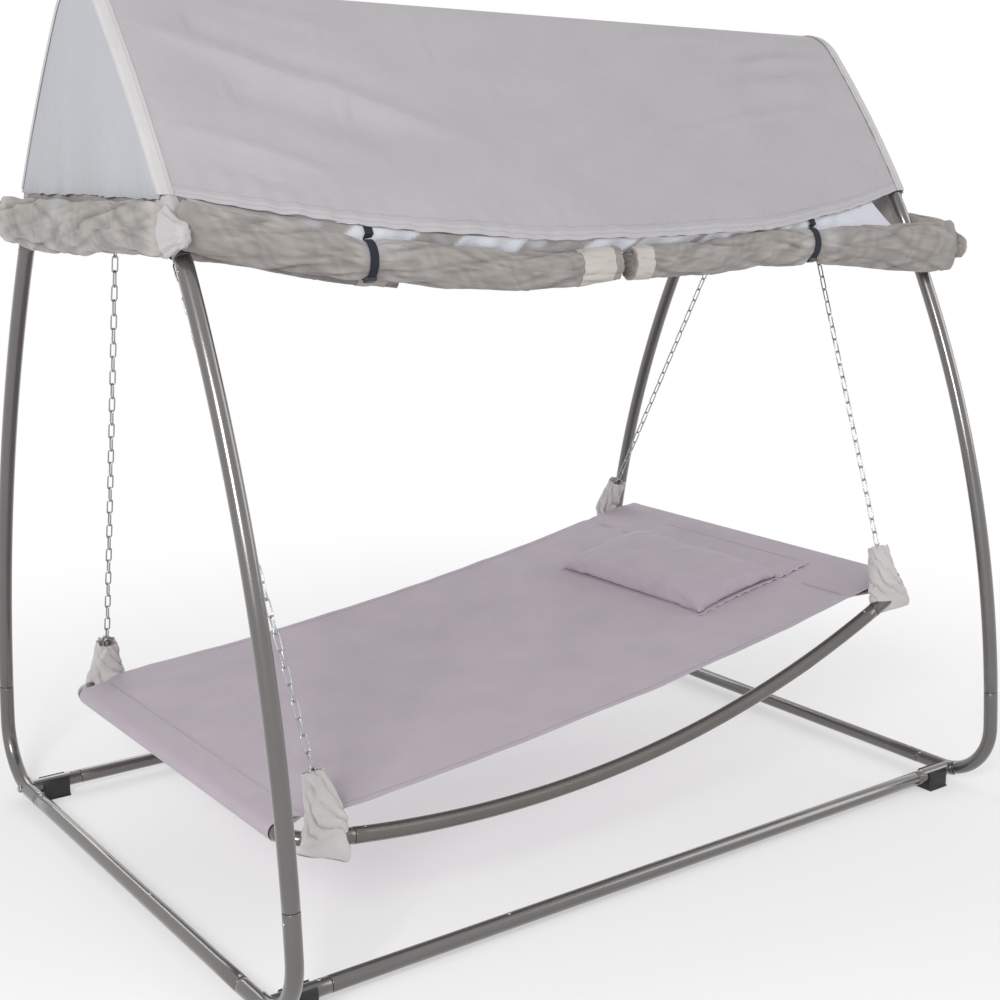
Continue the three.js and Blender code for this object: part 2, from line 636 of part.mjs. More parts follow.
function bowStations(y) {
  const { inboard, up, origin } = bedEnd(-1);
  const startAlong = (BAR_ARM + SEAT_GAP) * Math.cos(BOW_SLOPE);
  const startDown = (BAR_ARM + SEAT_GAP) * Math.sin(BOW_SLOPE);
  const radius = (BED_LENGTH - 2 * startAlong) / (2 * Math.sin(BOW_SLOPE));
  const centre = [BED_LENGTH / 2, radius * Math.cos(BOW_SLOPE) - startDown];
  const down = -Math.PI / 2;
  const flat = [
    ...arcToSocket(centre, radius, down, down - BOW_SLOPE, 4).reverse(),
    ...arcToSocket(centre, radius, down, down + BOW_SLOPE, 4),
  ];
  flat.slice(0, flat.length / 2).forEach(({ tangent }) => tangent.negate());
  return inSpace(flat, new THREE.Vector3(origin.x, y, origin.z), inboard, up);
}

// Heights above the arm's centre line of the corner eye's ring and of its upper wire
const CORNER_RING_UP = TUBE_R + SEAT_GAP + CORNER_EYE_COLLAR + CORNER_EYE_RING_R + CORNER_EYE_WIRE_R / 2;
const CORNER_WIRE_UP = CORNER_RING_UP + CORNER_EYE_RING_R;

function cornerFrame(signX, signY) {
  const { origin, arm, armUp } = bedEnd(signX);
  const seat = origin.clone().addScaledVector(arm, CORNER_EYE_INSET).addScaledVector(Y, signY * BOW_Y);
  return { seat, arm, armUp };
}

function cornerEyeGeometry(signX, signY) {
  const { seat, armUp } = cornerFrame(signX, signY);
  const at = (height) => seat.clone().addScaledVector(armUp, height);
  const nutMiddle = -TUBE_R - SEAT_GAP - CORNER_NUT / 2;
  const shankTop = CORNER_RING_UP - CORNER_EYE_RING_R;
  const shank = cylinderAlong(armUp, CORNER_EYE_WIRE_R, shankTop - nutMiddle,
    at((shankTop + nutMiddle) / 2));
  const collar = cylinderAlong(armUp, 2 * CORNER_EYE_WIRE_R, CORNER_EYE_COLLAR,
    at(TUBE_R + SEAT_GAP + CORNER_EYE_COLLAR / 2));
  const nut = cylinderAlong(armUp, 2 * CORNER_EYE_WIRE_R, CORNER_NUT, at(nutMiddle), 6);
  const ring = new THREE.TorusGeometry(CORNER_EYE_RING_R, CORNER_EYE_WIRE_R, 6, 10);
  ring.applyMatrix4(new THREE.Matrix4().makeBasis(Y, armUp, Y.clone().cross(armUp)));
  const middle = at(CORNER_RING_UP);
  ring.translate(middle.x, middle.y, middle.z);
  return join(shank, collar, nut, ring);
}

function buildBedFrame() {
  for (const [end, signX] of [['foot', -1], ['head', 1]]) {
    const holes = [-1, 1].map((signY) => {
      const { seat, armUp } = cornerFrame(signX, signY);
      return cylinderAlong(armUp, CORNER_EYE_WIRE_R + SEAT_GAP, 3 * TUBE_R, seat);
    });
    const bar = tube(endBarStations(signX), { startSpigot: SPIGOT_LENGTH, endSpigot: SPIGOT_LENGTH });
    place(`${end}_end_bar`, cut(bar, ...holes), steel);
  }
  place('near_bow_tube', tube(bowStations(-BOW_Y)), steel);
  place('far_bow_tube', tube(bowStations(BOW_Y)), steel);
  for (const [end, signX] of [['foot', -1], ['head', 1]]) {
    for (const [side, signY] of [['near', -1], ['far', 1]]) {
      place(`${end}_${side}_corner_eye`, cornerEyeGeometry(signX, signY), zinc);
    }
  }
}

// One chain: from the hook's bar down to the corner eye's upper wire
function chainLine(signX, signY) {
  const { seat, armUp } = cornerFrame(signX, signY);
  const top = new THREE.Vector3(signX * HANGER_X, signY * CHAIN_SPACING / 2, HOOK_BAR_Z);
  const bottom = seat.clone().addScaledVector(armUp, CORNER_WIRE_UP);
  const down = bottom.clone().sub(top).normalize();
  const across = X.clone().addScaledVector(down, -X.dot(down)).normalize();
  const through = down.clone().cross(across);
  return { top, bottom, down, across, through };
}

// How far a link's end must stand off a bar that crosses it at the chain's lean
function linkLift(line, barR) {
  const slant = Math.acos(Math.abs(line.through.y));
  const half = barR / Math.cos(slant) + LINK_WIRE_R * Math.tan(slant);
  return Math.max(0, half + SEAT_GAP - (LINK_WIDTH / 2 - 2 * LINK_WIRE_R));
}

function chainGeometry(signX, signY) {
  const line = chainLine(signX, signY);
  const endR = LINK_WIDTH / 2 - LINK_WIRE_R;
  const inner = LINK_WIDTH / 2 - 2 * LINK_WIRE_R;
  const body = LINK_PITCH - 2 * inner;
  const first = -linkLift(line, HOOK_WIRE_R);
  const last = line.top.distanceTo(line.bottom) + linkLift(line, CORNER_EYE_WIRE_R);
  const span = last - first - body;
  const gaps = 2 * Math.round(span / LINK_PITCH / 2);
  const pitch = span / gaps;
  const spot = (distance) => line.top.clone().addScaledVector(line.down, distance);
  const ring = (from) => {
    const flat = [
      ...arc([from, 0], endR, Math.PI / 2, 1.5 * Math.PI, 3),
      ...arc([from + body, 0], endR, -Math.PI / 2, Math.PI / 2, 3),
    ];
    return ringAlong(inSpace(flat, line.top, line.down, line.across), LINK_WIRE_R, 4);
  };
  const section = (distance, wide, deep) => [[-1, -1], [1, -1], [1, 1], [-1, 1]].map(([a, b]) =>
    spot(distance).addScaledVector(line.across, a * wide / 2).addScaledVector(line.through, b * deep / 2));
  const wire = 2 * LINK_WIRE_R;
  const sections = [section(first + body + endR - wire / 2, wire, wire)];
  for (let k = 1; k < gaps; k += 1) {
    const distance = first + body / 2 + k * pitch;
    sections.push(k % 2 ? section(distance, wire, LINK_WIDTH) : section(distance, LINK_WIDTH, wire));
  }
  sections.push(section(last - body - endR + wire / 2, wire, wire));
  return join(loft(sections), ring(first), ring(last - body));
}

function buildChains() {
  for (const [end, signX] of [['foot', -1], ['head', 1]]) {
    for (const [side, signY] of [['near', -1], ['far', 1]]) {
      place(`${end}_${side}_chain`, chainGeometry(signX, signY), zinc);
    }
  }
}

// Fabric sock: height along the chain, then half length along the tube and half width across it
const COVER_SECTIONS = [
  [-COVER_DROP, 2 * TUBE_R, TUBE_R - 2],
  [-12, COVER_HALF_LENGTH, TUBE_R + COVER_EASE],
  [16, COVER_HALF_LENGTH - 2, TUBE_R + COVER_EASE + 1],
  [70, COVER_MOUTH + 16, TUBE_R + COVER_EASE],
  [COVER_HEIGHT, COVER_MOUTH, COVER_MOUTH - 2],
];

function coverLoft(signX, signY, inset) {
  const { seat, arm, armUp } = cornerFrame(signX, signY);
  const line = chainLine(signX, signY);
  const up = line.down.clone().negate();
  const along = arm.clone().addScaledVector(up, -arm.dot(up)).normalize();
  const across = up.clone().cross(along);
  const axisAt = (height) => (height < CORNER_WIRE_UP
    ? seat.clone().addScaledVector(armUp, height)
    : line.bottom.clone().addScaledVector(up, height - CORNER_WIRE_UP));
  const rings = COVER_SECTIONS.map(([height, halfLength, halfWidth], i) => {
    const lift = i === 0 || i === COVER_SECTIONS.length - 1 ? inset : 0;
    const middle = axisAt(height + lift);
    return Array.from({ length: 8 }, (_, k) => {
      const angle = 2 * Math.PI * (k + 0.5) / 8;
      return middle.clone().addScaledVector(along, (halfLength - inset) * Math.cos(angle))
        .addScaledVector(across, (halfWidth - inset) * Math.sin(angle));
    });
  });
  return loft(rings);
}

function buildCovers() {
  for (const [end, signX] of [['foot', -1], ['head', 1]]) {
    const bar = rod(endBarStations(signX), TUBE_R + 2 * SEAT_GAP);
    for (const [side, signY] of [['near', -1], ['far', 1]]) {
      const cup = cut(coverLoft(signX, signY, 0), coverLoft(signX, signY, COVER_WALL));
      const bow = rod(bowStations(signY * BOW_Y), TUBE_R + 2 * SEAT_GAP);
      place(`${end}_${side}_corner_cover`, cut(cup, bar, bow), coverFabric);
    }
  }
}

// Height of the cloth's mid layer below its straight line, at a place along and across the bed
function smooth(t) {
  const s = Math.min(1, Math.max(0, t));
  return s * s * (3 - 2 * s);
}

function clothDrop(along, y) {
  const free = Math.min(1, Math.max(0, (along - 2 * TUBE_R) / (BED_LENGTH - 4 * TUBE_R)));
  const hang = 4 * free * (1 - free);
  const across = 1 - (y / CLOTH_HALF_WIDTH) ** 2;
  return -hang * (CLOTH_SAG + CLOTH_DISH * across);
}

function clothHalfWidth(along) {
  const nearEnd = Math.min(along, BED_LENGTH - along);
  const step = smooth((nearEnd - CLOTH_WIDENS_FROM) / (CLOTH_WIDENS_TO - CLOTH_WIDENS_FROM));
  return SLEEVE_HALF_WIDTH + (CLOTH_HALF_WIDTH - SLEEVE_HALF_WIDTH) * step;
}

const SLEEVE_ARC_STEPS = 8;
const SLEEVE_R = clearOf(TUBE_R, 2 * SLEEVE_ARC_STEPS);

// Half of the cloth's outline at one end: round the bar, then up to the seam
function sleeveArc(radius, wedge) {
  return arc([0, 0], radius, Math.PI / 2, 1.5 * Math.PI + wedge, SLEEVE_ARC_STEPS).map((s) => s.point);
}

function bedClothGeometry() {
  const wedgeOf = (seam) => Math.atan2(2 * SLEEVE_R, seam);
  const turned = (points) => points.map((p) => new THREE.Vector2(BED_LENGTH - p.x, p.y));
  const footOuter = sleeveArc(SLEEVE_R + CLOTH, wedgeOf(FOOT_SLEEVE));
  const headOuter = turned(sleeveArc(SLEEVE_R + CLOTH, wedgeOf(HEAD_SLEEVE))).reverse();
  const footSeam = new THREE.Vector2(FOOT_SLEEVE + 4 * CLOTH, SLEEVE_R);
  const headSeam = new THREE.Vector2(BED_LENGTH - HEAD_SLEEVE - 4 * CLOTH, SLEEVE_R);
  const between = (from, to, count) => Array.from({ length: count }, (_, i) => {
    return from.clone().lerp(to, (i + 1) / (count + 1));
  });
  const topRight = new THREE.Vector2(BED_LENGTH, SLEEVE_R + CLOTH);
  const topLeft = new THREE.Vector2(0, SLEEVE_R + CLOTH);
  const outline = [
    ...footOuter,
    footSeam, ...between(footSeam, headSeam, 9), headSeam,
    ...headOuter,
    ...between(topRight, topLeft, 11),
  ];
  const hole = (seam) => [...sleeveArc(SLEEVE_R, wedgeOf(seam)), new THREE.Vector2(seam, SLEEVE_R - 0.5)];
  const shape = new THREE.Shape(outline);
  shape.holes.push(new THREE.Path(hole(FOOT_SLEEVE)), new THREE.Path(turned(hole(HEAD_SLEEVE))));
  const cloth = new THREE.ExtrudeGeometry(shape, { depth: 2, steps: 6, bevelEnabled: false });
  const { inboard, up, origin } = bedEnd(-1);
  const places = cloth.attributes.position;
  const p = new THREE.Vector3();
  for (let i = 0; i < places.count; i += 1) {
    p.fromBufferAttribute(places, i);
    const y = (1 - p.z) * clothHalfWidth(p.x);
    const height = p.y + clothDrop(p.x, y);
    const spot = origin.clone().addScaledVector(inboard, p.x).addScaledVector(up, height);
    places.setXYZ(i, spot.x, y, spot.z);
  }
  return toGeometry(toSolid(cloth));
}

// Crowned pad with drawn-in sides, and the flap behind it that ends at the head sleeve's seam
function pillowGeometry() {
  const { inboard, up, origin } = bedEnd(-1);
  const front = BED_LENGTH - PILLOW_FRONT;
  const back = BED_LENGTH - PILLOW_BACK;
  const flapEnd = BED_LENGTH - FLAP_BACK;
  const rows = 10;
  const columns = 12;
  const alongs = Array.from({ length: rows + 1 }, (_, i) => front + (back - front) * i / rows);
  const stations = [...alongs.map((a) => [a, (a - front) / (back - front)]), [(back + flapEnd) / 2, 1],
    [flapEnd, 1]];
  const grid = (top) => stations.map(([along, s]) => {
    const drawn = 1 - PILLOW_DRAW_IN * Math.sin(Math.PI * s);
    return Array.from({ length: columns + 1 }, (_, j) => {
      const t = 2 * j / columns - 1;
      const y = t * drawn * PILLOW_WIDTH / 2;
      const crown = Math.sqrt(Math.max(0, 1 - t ** 4)) * Math.sqrt(Math.max(0, 1 - (2 * s - 1) ** 4));
      const thick = s >= 1 ? FLAP : PILLOW_EDGE + (PILLOW_CROWN - PILLOW_EDGE) * crown;
      const rest = SLEEVE_R + CLOTH + SEAT_GAP + clothDrop(along, y) + PILLOW_REST;
      const height = rest + (top ? thick : 0);
      return origin.clone().addScaledVector(inboard, along).addScaledVector(up, height).setY(y);
    });
  });
  return shell(grid(true), grid(false));
}

// Roof: at the ends the cloth lies on the end frames, and between them it runs straight from the
// ridge tube to the hem, with a small sag and shallow folds
const CREST_STEPS = 3;
const SLOPE_STEPS = 6;
const ROOF_X = END_X + TUBE_R + GABLE_GAP + CANOPY;
const ROOF_STATIONS = [1, 0.962, 0.88, 0.72, 0.5, 0.26];

function hemAt(x) {
  const end = Math.min(1, Math.abs(x) / END_X) ** HEM_POWER;
  return { y: HEM_HALF_SPREAD - HEM_END_LIFT * end, z: HEM_Z + HEM_END_LIFT * end };
}

function roofPoint(x, k, lift) {
  const hem = hemAt(x);
  const clear = 1.5 * SEAT_GAP + lift;
  const onFrame = smooth((Math.abs(x) / END_X) ** 4);
  const ridgeR = TUBE_R + clear;
  const bendR = APEX_BEND_R + TUBE_R + clear;
  const steep = Math.atan2(RIDGE_Z - hem.z, hem.y);
  if (k <= CREST_STEPS) {
    const share = k / CREST_STEPS;
    const ridge = Math.PI / 2 - steep * share;
    const bend = Math.PI / 2 - (Math.PI / 2 - LEG_END) * share;
    const free = new THREE.Vector2(ridgeR * Math.cos(ridge), RIDGE_Z + ridgeR * Math.sin(ridge));
    const tied = new THREE.Vector2(bendR * Math.cos(bend), APEX_BEND_Z + bendR * Math.sin(bend));
    return free.lerp(tied, onFrame);
  }
  const share = (k - CREST_STEPS) / SLOPE_STEPS;
  const start = new THREE.Vector2(ridgeR * Math.sin(steep), RIDGE_Z + ridgeR * Math.cos(steep));
  const end = new THREE.Vector2(hem.y + lift * Math.sin(steep), hem.z + lift * Math.cos(steep));
  const free = start.lerp(end, share);
  const fold = SLOPE_FOLD * Math.sin(3 * Math.PI * share) * Math.cos(FOLD_SPREAD * x / END_X);
  const sag = (SLOPE_SAG * Math.sin(Math.PI * share) + fold) * (1 - onFrame);
  free.x -= sag * Math.sin(steep);
  free.y -= sag * Math.cos(steep);
  const legR = LEG_RADIUS + TUBE_R + clear;
  const hemAngle = Math.asin((hem.z - LEG_UPRIGHT_Z) / legR);
  const angle = LEG_END + (hemAngle - LEG_END) * share;
  const tied = new THREE.Vector2(LEG_CENTRE_Y + legR * Math.cos(angle),
    LEG_UPRIGHT_Z + legR * Math.sin(angle));
  return free.lerp(tied, onFrame);
}

function roofProfile(x, lift) {
  const steps = CREST_STEPS + SLOPE_STEPS;
  const far = Array.from({ length: steps + 1 }, (_, k) => roofPoint(x, k, lift));
  const near = far.slice(1).reverse().map((p) => new THREE.Vector2(-p.x, p.y));
  return [...near, ...far];
}

function roofX() {
  const half = ROOF_STATIONS.map((share) => share * ROOF_X);
  return [...half.map((x) => -x), 0, ...half.reverse()];
}

// The inside of the roof's slope between two stations of its mesh
function roofChord(x, k) {
  const stations = roofX();
  const next = stations.findIndex((station) => station > x);
  const share = (x - stations[next - 1]) / (stations[next] - stations[next - 1]);
  return roofPoint(stations[next - 1], k, 0).lerp(roofPoint(stations[next], k, 0), share);
}

function gableSheet(signX) {
  const outline = roofProfile(ROOF_X, CANOPY / 2);
  const corner = outline[outline.length - 1].x;
  const hem = Array.from({ length: GABLE_WAVES - 1 }, (_, i) => {
    const y = corner * (1 - 2 * (i + 1) / GABLE_WAVES);
    return new THREE.Vector2(y, GABLE_HEM_Z + (i % 2) * GABLE_WAVE);
  });
  const from = END_X + TUBE_R + GABLE_GAP;
  const sheet = plateAlongX(new THREE.Shape([...outline, ...hem]), from, from + GABLE_SHEET);
  return mirrored(sheet, signX, 1);
}

function canopyGeometry() {
  const layer = (lift) => roofX().map((x) => {
    return roofProfile(x, lift).map((p) => new THREE.Vector3(x, p.x, p.y));
  });
  return join(shell(layer(CANOPY), layer(0)), gableSheet(-1), gableSheet(1));
}

// Rolled nets, as sections: share of the roll's length, middle out from the legs' outside,
// underside above the hem, half depth, half height. A strap ties each side roll at one section.
const FOOT_SIDE_STRAP = [0.626, 9, -72, 31, 40];
const HEAD_SIDE_STRAP = [0.577, 16, -71, 31, 40];
const FOOT_SIDE_ROLL = [[1, 59, -1, 32, 46], [0.894, 44, -29, 33, 48], [0.769, 28, -56, 34, 47],
  [0.447, 12, -97, 33, 45], [0.295, 11, -112, 34, 44], [0.161, 14, -108, 33, 41],
  [0.029, 19, -99, 30, 38]];
const HEAD_SIDE_ROLL = [[1, 77, -116, 38, 68], [0.939, 73, -116, 38, 66], [0.839, 49, -108, 37, 60],
  [0.68, 19, -89, 35, 50], [0.39, 21, -80, 33, 42], [0.234, 19, -97, 33, 42],
  [0.007, 19, -99, 30, 38]];
const FOOT_SIDE_ROLL_FAR = [[1, 55, -9, 32, 46], [0.894, 41, -33, 33, 46], [0.769, 26, -59, 33, 46],
  [0.422, 6, -107, 33, 42], [0.287, -6, -141, 34, 42], [0.174, -16, -164, 34, 42],
  [0.011, -24, -181, 30, 40]];

// End rolls: share of the half length, underside above the gable's hem, half depth, half height
const FOOT_END_ROLL = [[-1, -117, 23, 54], [-0.78, -107, 23, 51], [-0.39, -113, 24, 52],
  [0, -125, 27, 56], [0.39, -129, 24, 58], [0.78, -121, 23, 55], [1, -113, 23, 52]];
const HEAD_END_ROLL = [[-1, -203, 24, 64], [-0.72, -183, 25, 64], [-0.34, -157, 25, 60],
  [0, -143, 27, 58], [0.34, -153, 25, 60], [0.72, -179, 25, 64], [1, -201, 24, 64]];

// One section of a roll, with shallow folds that wind along it
function rollRing({ along, out, middle, halfDepth, halfHeight }, toSpace) {
  return Array.from({ length: ROLL_SIDES }, (_, i) => {
    const angle = 2 * Math.PI * i / ROLL_SIDES;
    const fold = 1 - ROLL_FOLD * (0.5 + 0.5 * Math.cos(3 * angle + along / ROLL_TWIST));
    const depth = out + halfDepth * fold * Math.cos(angle);
    return toSpace(along, depth, middle + halfHeight * fold * Math.sin(angle));
  });
}

function sideSection([share, standOff, rise, halfDepth, halfHeight]) {
  const middle = HEM_Z + rise + halfHeight;
  const out = legOutside(middle) + standOff;
  return { along: share * (END_X + ROLL_OVERHANG), out, middle, halfDepth, halfHeight };
}

function sideRoll(table, strap, signX, signY) {
  const tied = sideSection(strap);
  const nip = [-STRAP_NIP, STRAP_NIP].map((shift) => ({ ...tied, along: tied.along + shift }));
  const sections = [...table.map(sideSection), ...nip].sort((a, b) => b.along - a.along);
  const toSpace = (x, y, z) => new THREE.Vector3(signX * x, signY * y, z);
  return loft(sections.map((section) => rollRing(section, toSpace)));
}

function endRoll(table, reach, signX) {
  const face = END_X + TUBE_R + END_ROLL_GAP;
  const toSpace = (y, x, z) => new THREE.Vector3(signX * (face + x), y, z);
  return loft(table.map(([share, rise, halfDepth, halfHeight]) => rollRing({
    along: share * (legOutside(HEM_Z) + reach),
    out: halfDepth,
    middle: GABLE_HEM_Z + rise + halfHeight,
    halfDepth,
    halfHeight,
  }, toSpace)));
}

// Webbing loop round a roll, with its top carried up under the hem of the roof
function strapGeometry(strap, signX, signY) {
  const { along: x, out, middle, halfDepth, halfHeight } = sideSection(strap);
  const round = 1 / Math.cos(Math.PI / 12);
  const loop = (grow) => arc([0, 0], round, 0, 2 * Math.PI, 12).slice(1).map(({ point }) => {
    return new THREE.Vector2(out + (halfDepth + STRAP_GAP + grow) * point.x,
      middle + (halfHeight + STRAP_GAP + grow) * point.y);
  });
  const hem = roofChord(x, CREST_STEPS + SLOPE_STEPS);
  const back = roofChord(x, CREST_STEPS + SLOPE_STEPS - 1);
  const slope = hem.clone().sub(back).normalize();
  const inward = new THREE.Vector2(-slope.y, slope.x).multiplyScalar(slope.y < 0 ? -1 : 1);
  const inside = (p) => p.clone().addScaledVector(inward, STRAP_TAB_GAP);
  const tabTop = inside(hem.clone().addScaledVector(slope, -STRAP_TAB));
  const tabEnd = inside(hem);
  const loopTop = new THREE.Vector2(out - STRAP, middle + halfHeight + STRAP_GAP + STRAP / 2);
  const tab = new THREE.Shape([
    tabTop, tabEnd, loopTop.clone().add(new THREE.Vector2(STRAP, 0)), loopTop,
    tabEnd.clone().addScaledVector(inward, STRAP), tabTop.clone().addScaledVector(inward, STRAP),
  ]);
  const band = new THREE.Shape(loop(STRAP));
  band.holes.push(new THREE.Path(loop(0)));
  const from = x - STRAP_WIDTH / 2;
  const to = from + STRAP_WIDTH;
  return mirrored(join(plateAlongX(band, from, to), plateAlongX(tab, from, to)), signX, signY);
}

function buildRoof() {
  place('canopy', canopyGeometry(), roofCloth);
  const rolls = {
    foot_near: [FOOT_SIDE_ROLL, FOOT_SIDE_STRAP, -1, -1],
    head_near: [HEAD_SIDE_ROLL, HEAD_SIDE_STRAP, 1, -1],
    foot_far: [FOOT_SIDE_ROLL_FAR, FOOT_SIDE_STRAP, -1, 1],
    head_far: [HEAD_SIDE_ROLL, HEAD_SIDE_STRAP, 1, 1],
  };
  for (const [name, [table, strap, signX, signY]] of Object.entries(rolls)) {
    place(`${name}_net_roll`, sideRoll(table, strap, signX, signY), net);
    place(`${name}_roll_strap`, strapGeometry(strap, signX, signY), webbing);
  }
  place('foot_end_net_roll', endRoll(FOOT_END_ROLL, FOOT_ROLL_REACH, -1), net);
  place('head_end_net_roll', endRoll(HEAD_END_ROLL, HEAD_ROLL_REACH, 1), net);
}

function buildBedFabric() {
  place('bed_cloth', bedClothGeometry(), bedFabric);
  place('pillow', pillowGeometry(), bedFabric);
}

buildStand();
buildConnectors();
buildHangers();
buildBedFrame();
buildChains();
buildCovers();
buildBedFabric();
buildRoof();

export default object;
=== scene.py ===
"""Dressed model of a canopy hammock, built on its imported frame. All sizes are in metres."""

import math

import bmesh
import bpy
import numpy as np
from bpy.props import FloatProperty, FloatVectorProperty, IntProperty, PointerProperty
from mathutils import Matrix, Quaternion, Vector


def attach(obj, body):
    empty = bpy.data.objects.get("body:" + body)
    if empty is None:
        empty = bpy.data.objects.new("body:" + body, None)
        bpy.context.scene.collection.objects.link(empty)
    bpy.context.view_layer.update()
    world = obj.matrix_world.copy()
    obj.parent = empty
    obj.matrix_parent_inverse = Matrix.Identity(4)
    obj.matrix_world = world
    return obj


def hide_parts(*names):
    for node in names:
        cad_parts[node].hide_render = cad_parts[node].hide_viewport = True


bl_info = {
    "name": "Canopy Hammock Builder",
    "version": (1, 0, 0),
    "blender": (4, 5, 0),
    "location": "View3D > Sidebar > Hammock",
    "description": "Builds the tubes, chains, cloth and stage of a canopy hammock on its packed frame",
    "category": "Add Mesh",
}

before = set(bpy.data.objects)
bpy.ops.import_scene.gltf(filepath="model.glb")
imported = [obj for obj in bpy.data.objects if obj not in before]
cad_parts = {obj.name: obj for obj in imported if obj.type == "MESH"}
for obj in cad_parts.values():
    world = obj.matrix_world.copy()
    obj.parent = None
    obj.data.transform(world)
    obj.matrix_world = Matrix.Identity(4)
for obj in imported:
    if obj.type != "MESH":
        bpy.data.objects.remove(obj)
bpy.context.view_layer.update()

# Stand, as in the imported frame
TUBE_R = 0.019
BORE_R = 0.0175
SPIGOT_R = 0.0166
SEAT_GAP = 0.0003
END_X = 1.1
FLOOR_Z = 0.039
FLOOR_TUBE_HALF = 0.592
FLOOR_BEND_R = 0.15
LEG_RADIUS = 3.156
LEG_UPRIGHT_Z = 0.015
LEG_CENTRE_Y = 0.827 - LEG_RADIUS
LEG_FOOT_Z = 0.301
LEG_HEAD_Z = 1.539
APEX_BEND_R = 0.126
RAIL_HALF = 0.95
RAIL_PAST_BEND = 0.021
FLOOR_BEND_Z = FLOOR_Z + FLOOR_BEND_R
FLOOR_BEND_Y = LEG_CENTRE_Y + math.sqrt(
    (LEG_RADIUS - FLOOR_BEND_R) ** 2 - (FLOOR_BEND_Z - LEG_UPRIGHT_Z) ** 2)
RAIL_Y = FLOOR_BEND_Y + RAIL_PAST_BEND
RAIL_BOLT_Z = FLOOR_BEND_Z - math.sqrt(FLOOR_BEND_R ** 2 - RAIL_PAST_BEND ** 2)
APEX_BEND_Z = LEG_UPRIGHT_Z + math.sqrt((LEG_RADIUS - APEX_BEND_R) ** 2 - LEG_CENTRE_Y ** 2)
RIDGE_Z = APEX_BEND_Z + APEX_BEND_R
LEG_START = math.atan2(FLOOR_BEND_Z - LEG_UPRIGHT_Z, FLOOR_BEND_Y - LEG_CENTRE_Y)
LEG_END = math.atan2(APEX_BEND_Z - LEG_UPRIGHT_Z, -LEG_CENTRE_Y)
LEG_FOOT = math.asin((LEG_FOOT_Z - LEG_UPRIGHT_Z) / LEG_RADIUS)
LEG_HEAD = math.asin((LEG_HEAD_Z - LEG_UPRIGHT_Z) / LEG_RADIUS)
CLIP_LENGTH = 0.072
CLIP_X = END_X - TUBE_R - 0.021 - CLIP_LENGTH / 2
CLIP_WALL = 0.005
CLIP_MOUTH = math.radians(50)
PLATE_HALF = 0.025
PIN_OUT = TUBE_R - 0.0004

# Hangers and chains
HANGER_X = 1.027
EYE_RING_R = 0.016
EYE_WIRE_R = 0.0045
EYE_RING_Z = RIDGE_Z - TUBE_R - SEAT_GAP - 0.004 - EYE_RING_R
SWING_Z = EYE_RING_Z - EYE_RING_R
HOOK_WIRE_R = 0.004
HOOK_LENGTH = 0.099
HOOK_BAR_HALF = 0.012
HOOK_CORNER_R = 0.008
HOOK_BAR_Z = SWING_Z - HOOK_LENGTH
CHAIN_SPACING = 0.018
CHAIN_GAPS = {-1: 44, 1: 38}
FIRST_LINK_BELOW_HOOK = 0.01475
LAST_LINK_ABOVE_EYE = 0.01525

# Bed
BAR_X = 0.9775
BAR_Z = {-1: 0.329, 1: 0.585}
BOW_Y = 0.596
BAR_CORNER_R = 0.06
BAR_ARM = 0.148
BOW_SLOPE = math.radians(16.1)
BED_PITCH = math.atan2(BAR_Z[1] - BAR_Z[-1], 2 * BAR_X)
BED_LENGTH = math.hypot(BAR_Z[1] - BAR_Z[-1], 2 * BAR_X)
CORNER_EYE_INSET = 0.076
CORNER_EYE_RING_R = 0.011
CORNER_EYE_WIRE_R = 0.0035
CORNER_RING_UP = TUBE_R + SEAT_GAP + 0.0025 + CORNER_EYE_RING_R + CORNER_EYE_WIRE_R / 2
CORNER_WIRE_UP = CORNER_RING_UP + CORNER_EYE_RING_R
CLOTH_HALF_WIDTH = 0.57
SLEEVE_HALF_WIDTH = 0.542
CLOTH_SAG = 0.036
CLOTH_DISH = 0.014
FOOT_SLEEVE = 0.064
HEAD_SLEEVE = 0.19
SLEEVE_R = 0.0212
PAD_FRONT = BED_LENGTH - 0.521
PAD_BACK = BED_LENGTH - 0.205
FLAP_END = BED_LENGTH - 0.078
PAD_WIDTH = 0.612
PAD_CROWN = 0.050
PAD_EDGE = 0.012
COVER_LOW = -0.042
COVER_TOP = 0.150

# Roof and nets
HEM_Z = 1.559
HEM_END_LIFT = 0.103
HEM_POWER = 2.2
ROOF_THICK = 0.0012
ROOF_X = 1.1235
GABLE_X = 1.1218
GABLE_HEM_Z = 1.653
SLOPE_LENGTH = 0.72
ROLL_HALF = 1.118
ROLL_REACH = {-1: 0.067, 1: 0.139}
WRAP_TOP = 1.6585
WRAP_LOW = 1.550

X = np.array((1.0, 0.0, 0.0))
Y = np.array((0.0, 1.0, 0.0))
Z = np.array((0.0, 0.0, 1.0))
ENDS = ((-1, "foot"), (1, "head"))
SIDES = ((-1, "near"), (1, "far"))
CORNERS = tuple((sign_x, sign_y, f"{end}_{side}") for sign_x, end in ENDS for sign_y, side in SIDES)


# Settings


def length(name, description, default, low, high):
    return FloatProperty(name=name, description=description, default=default, min=low, max=high,
                         unit="LENGTH")


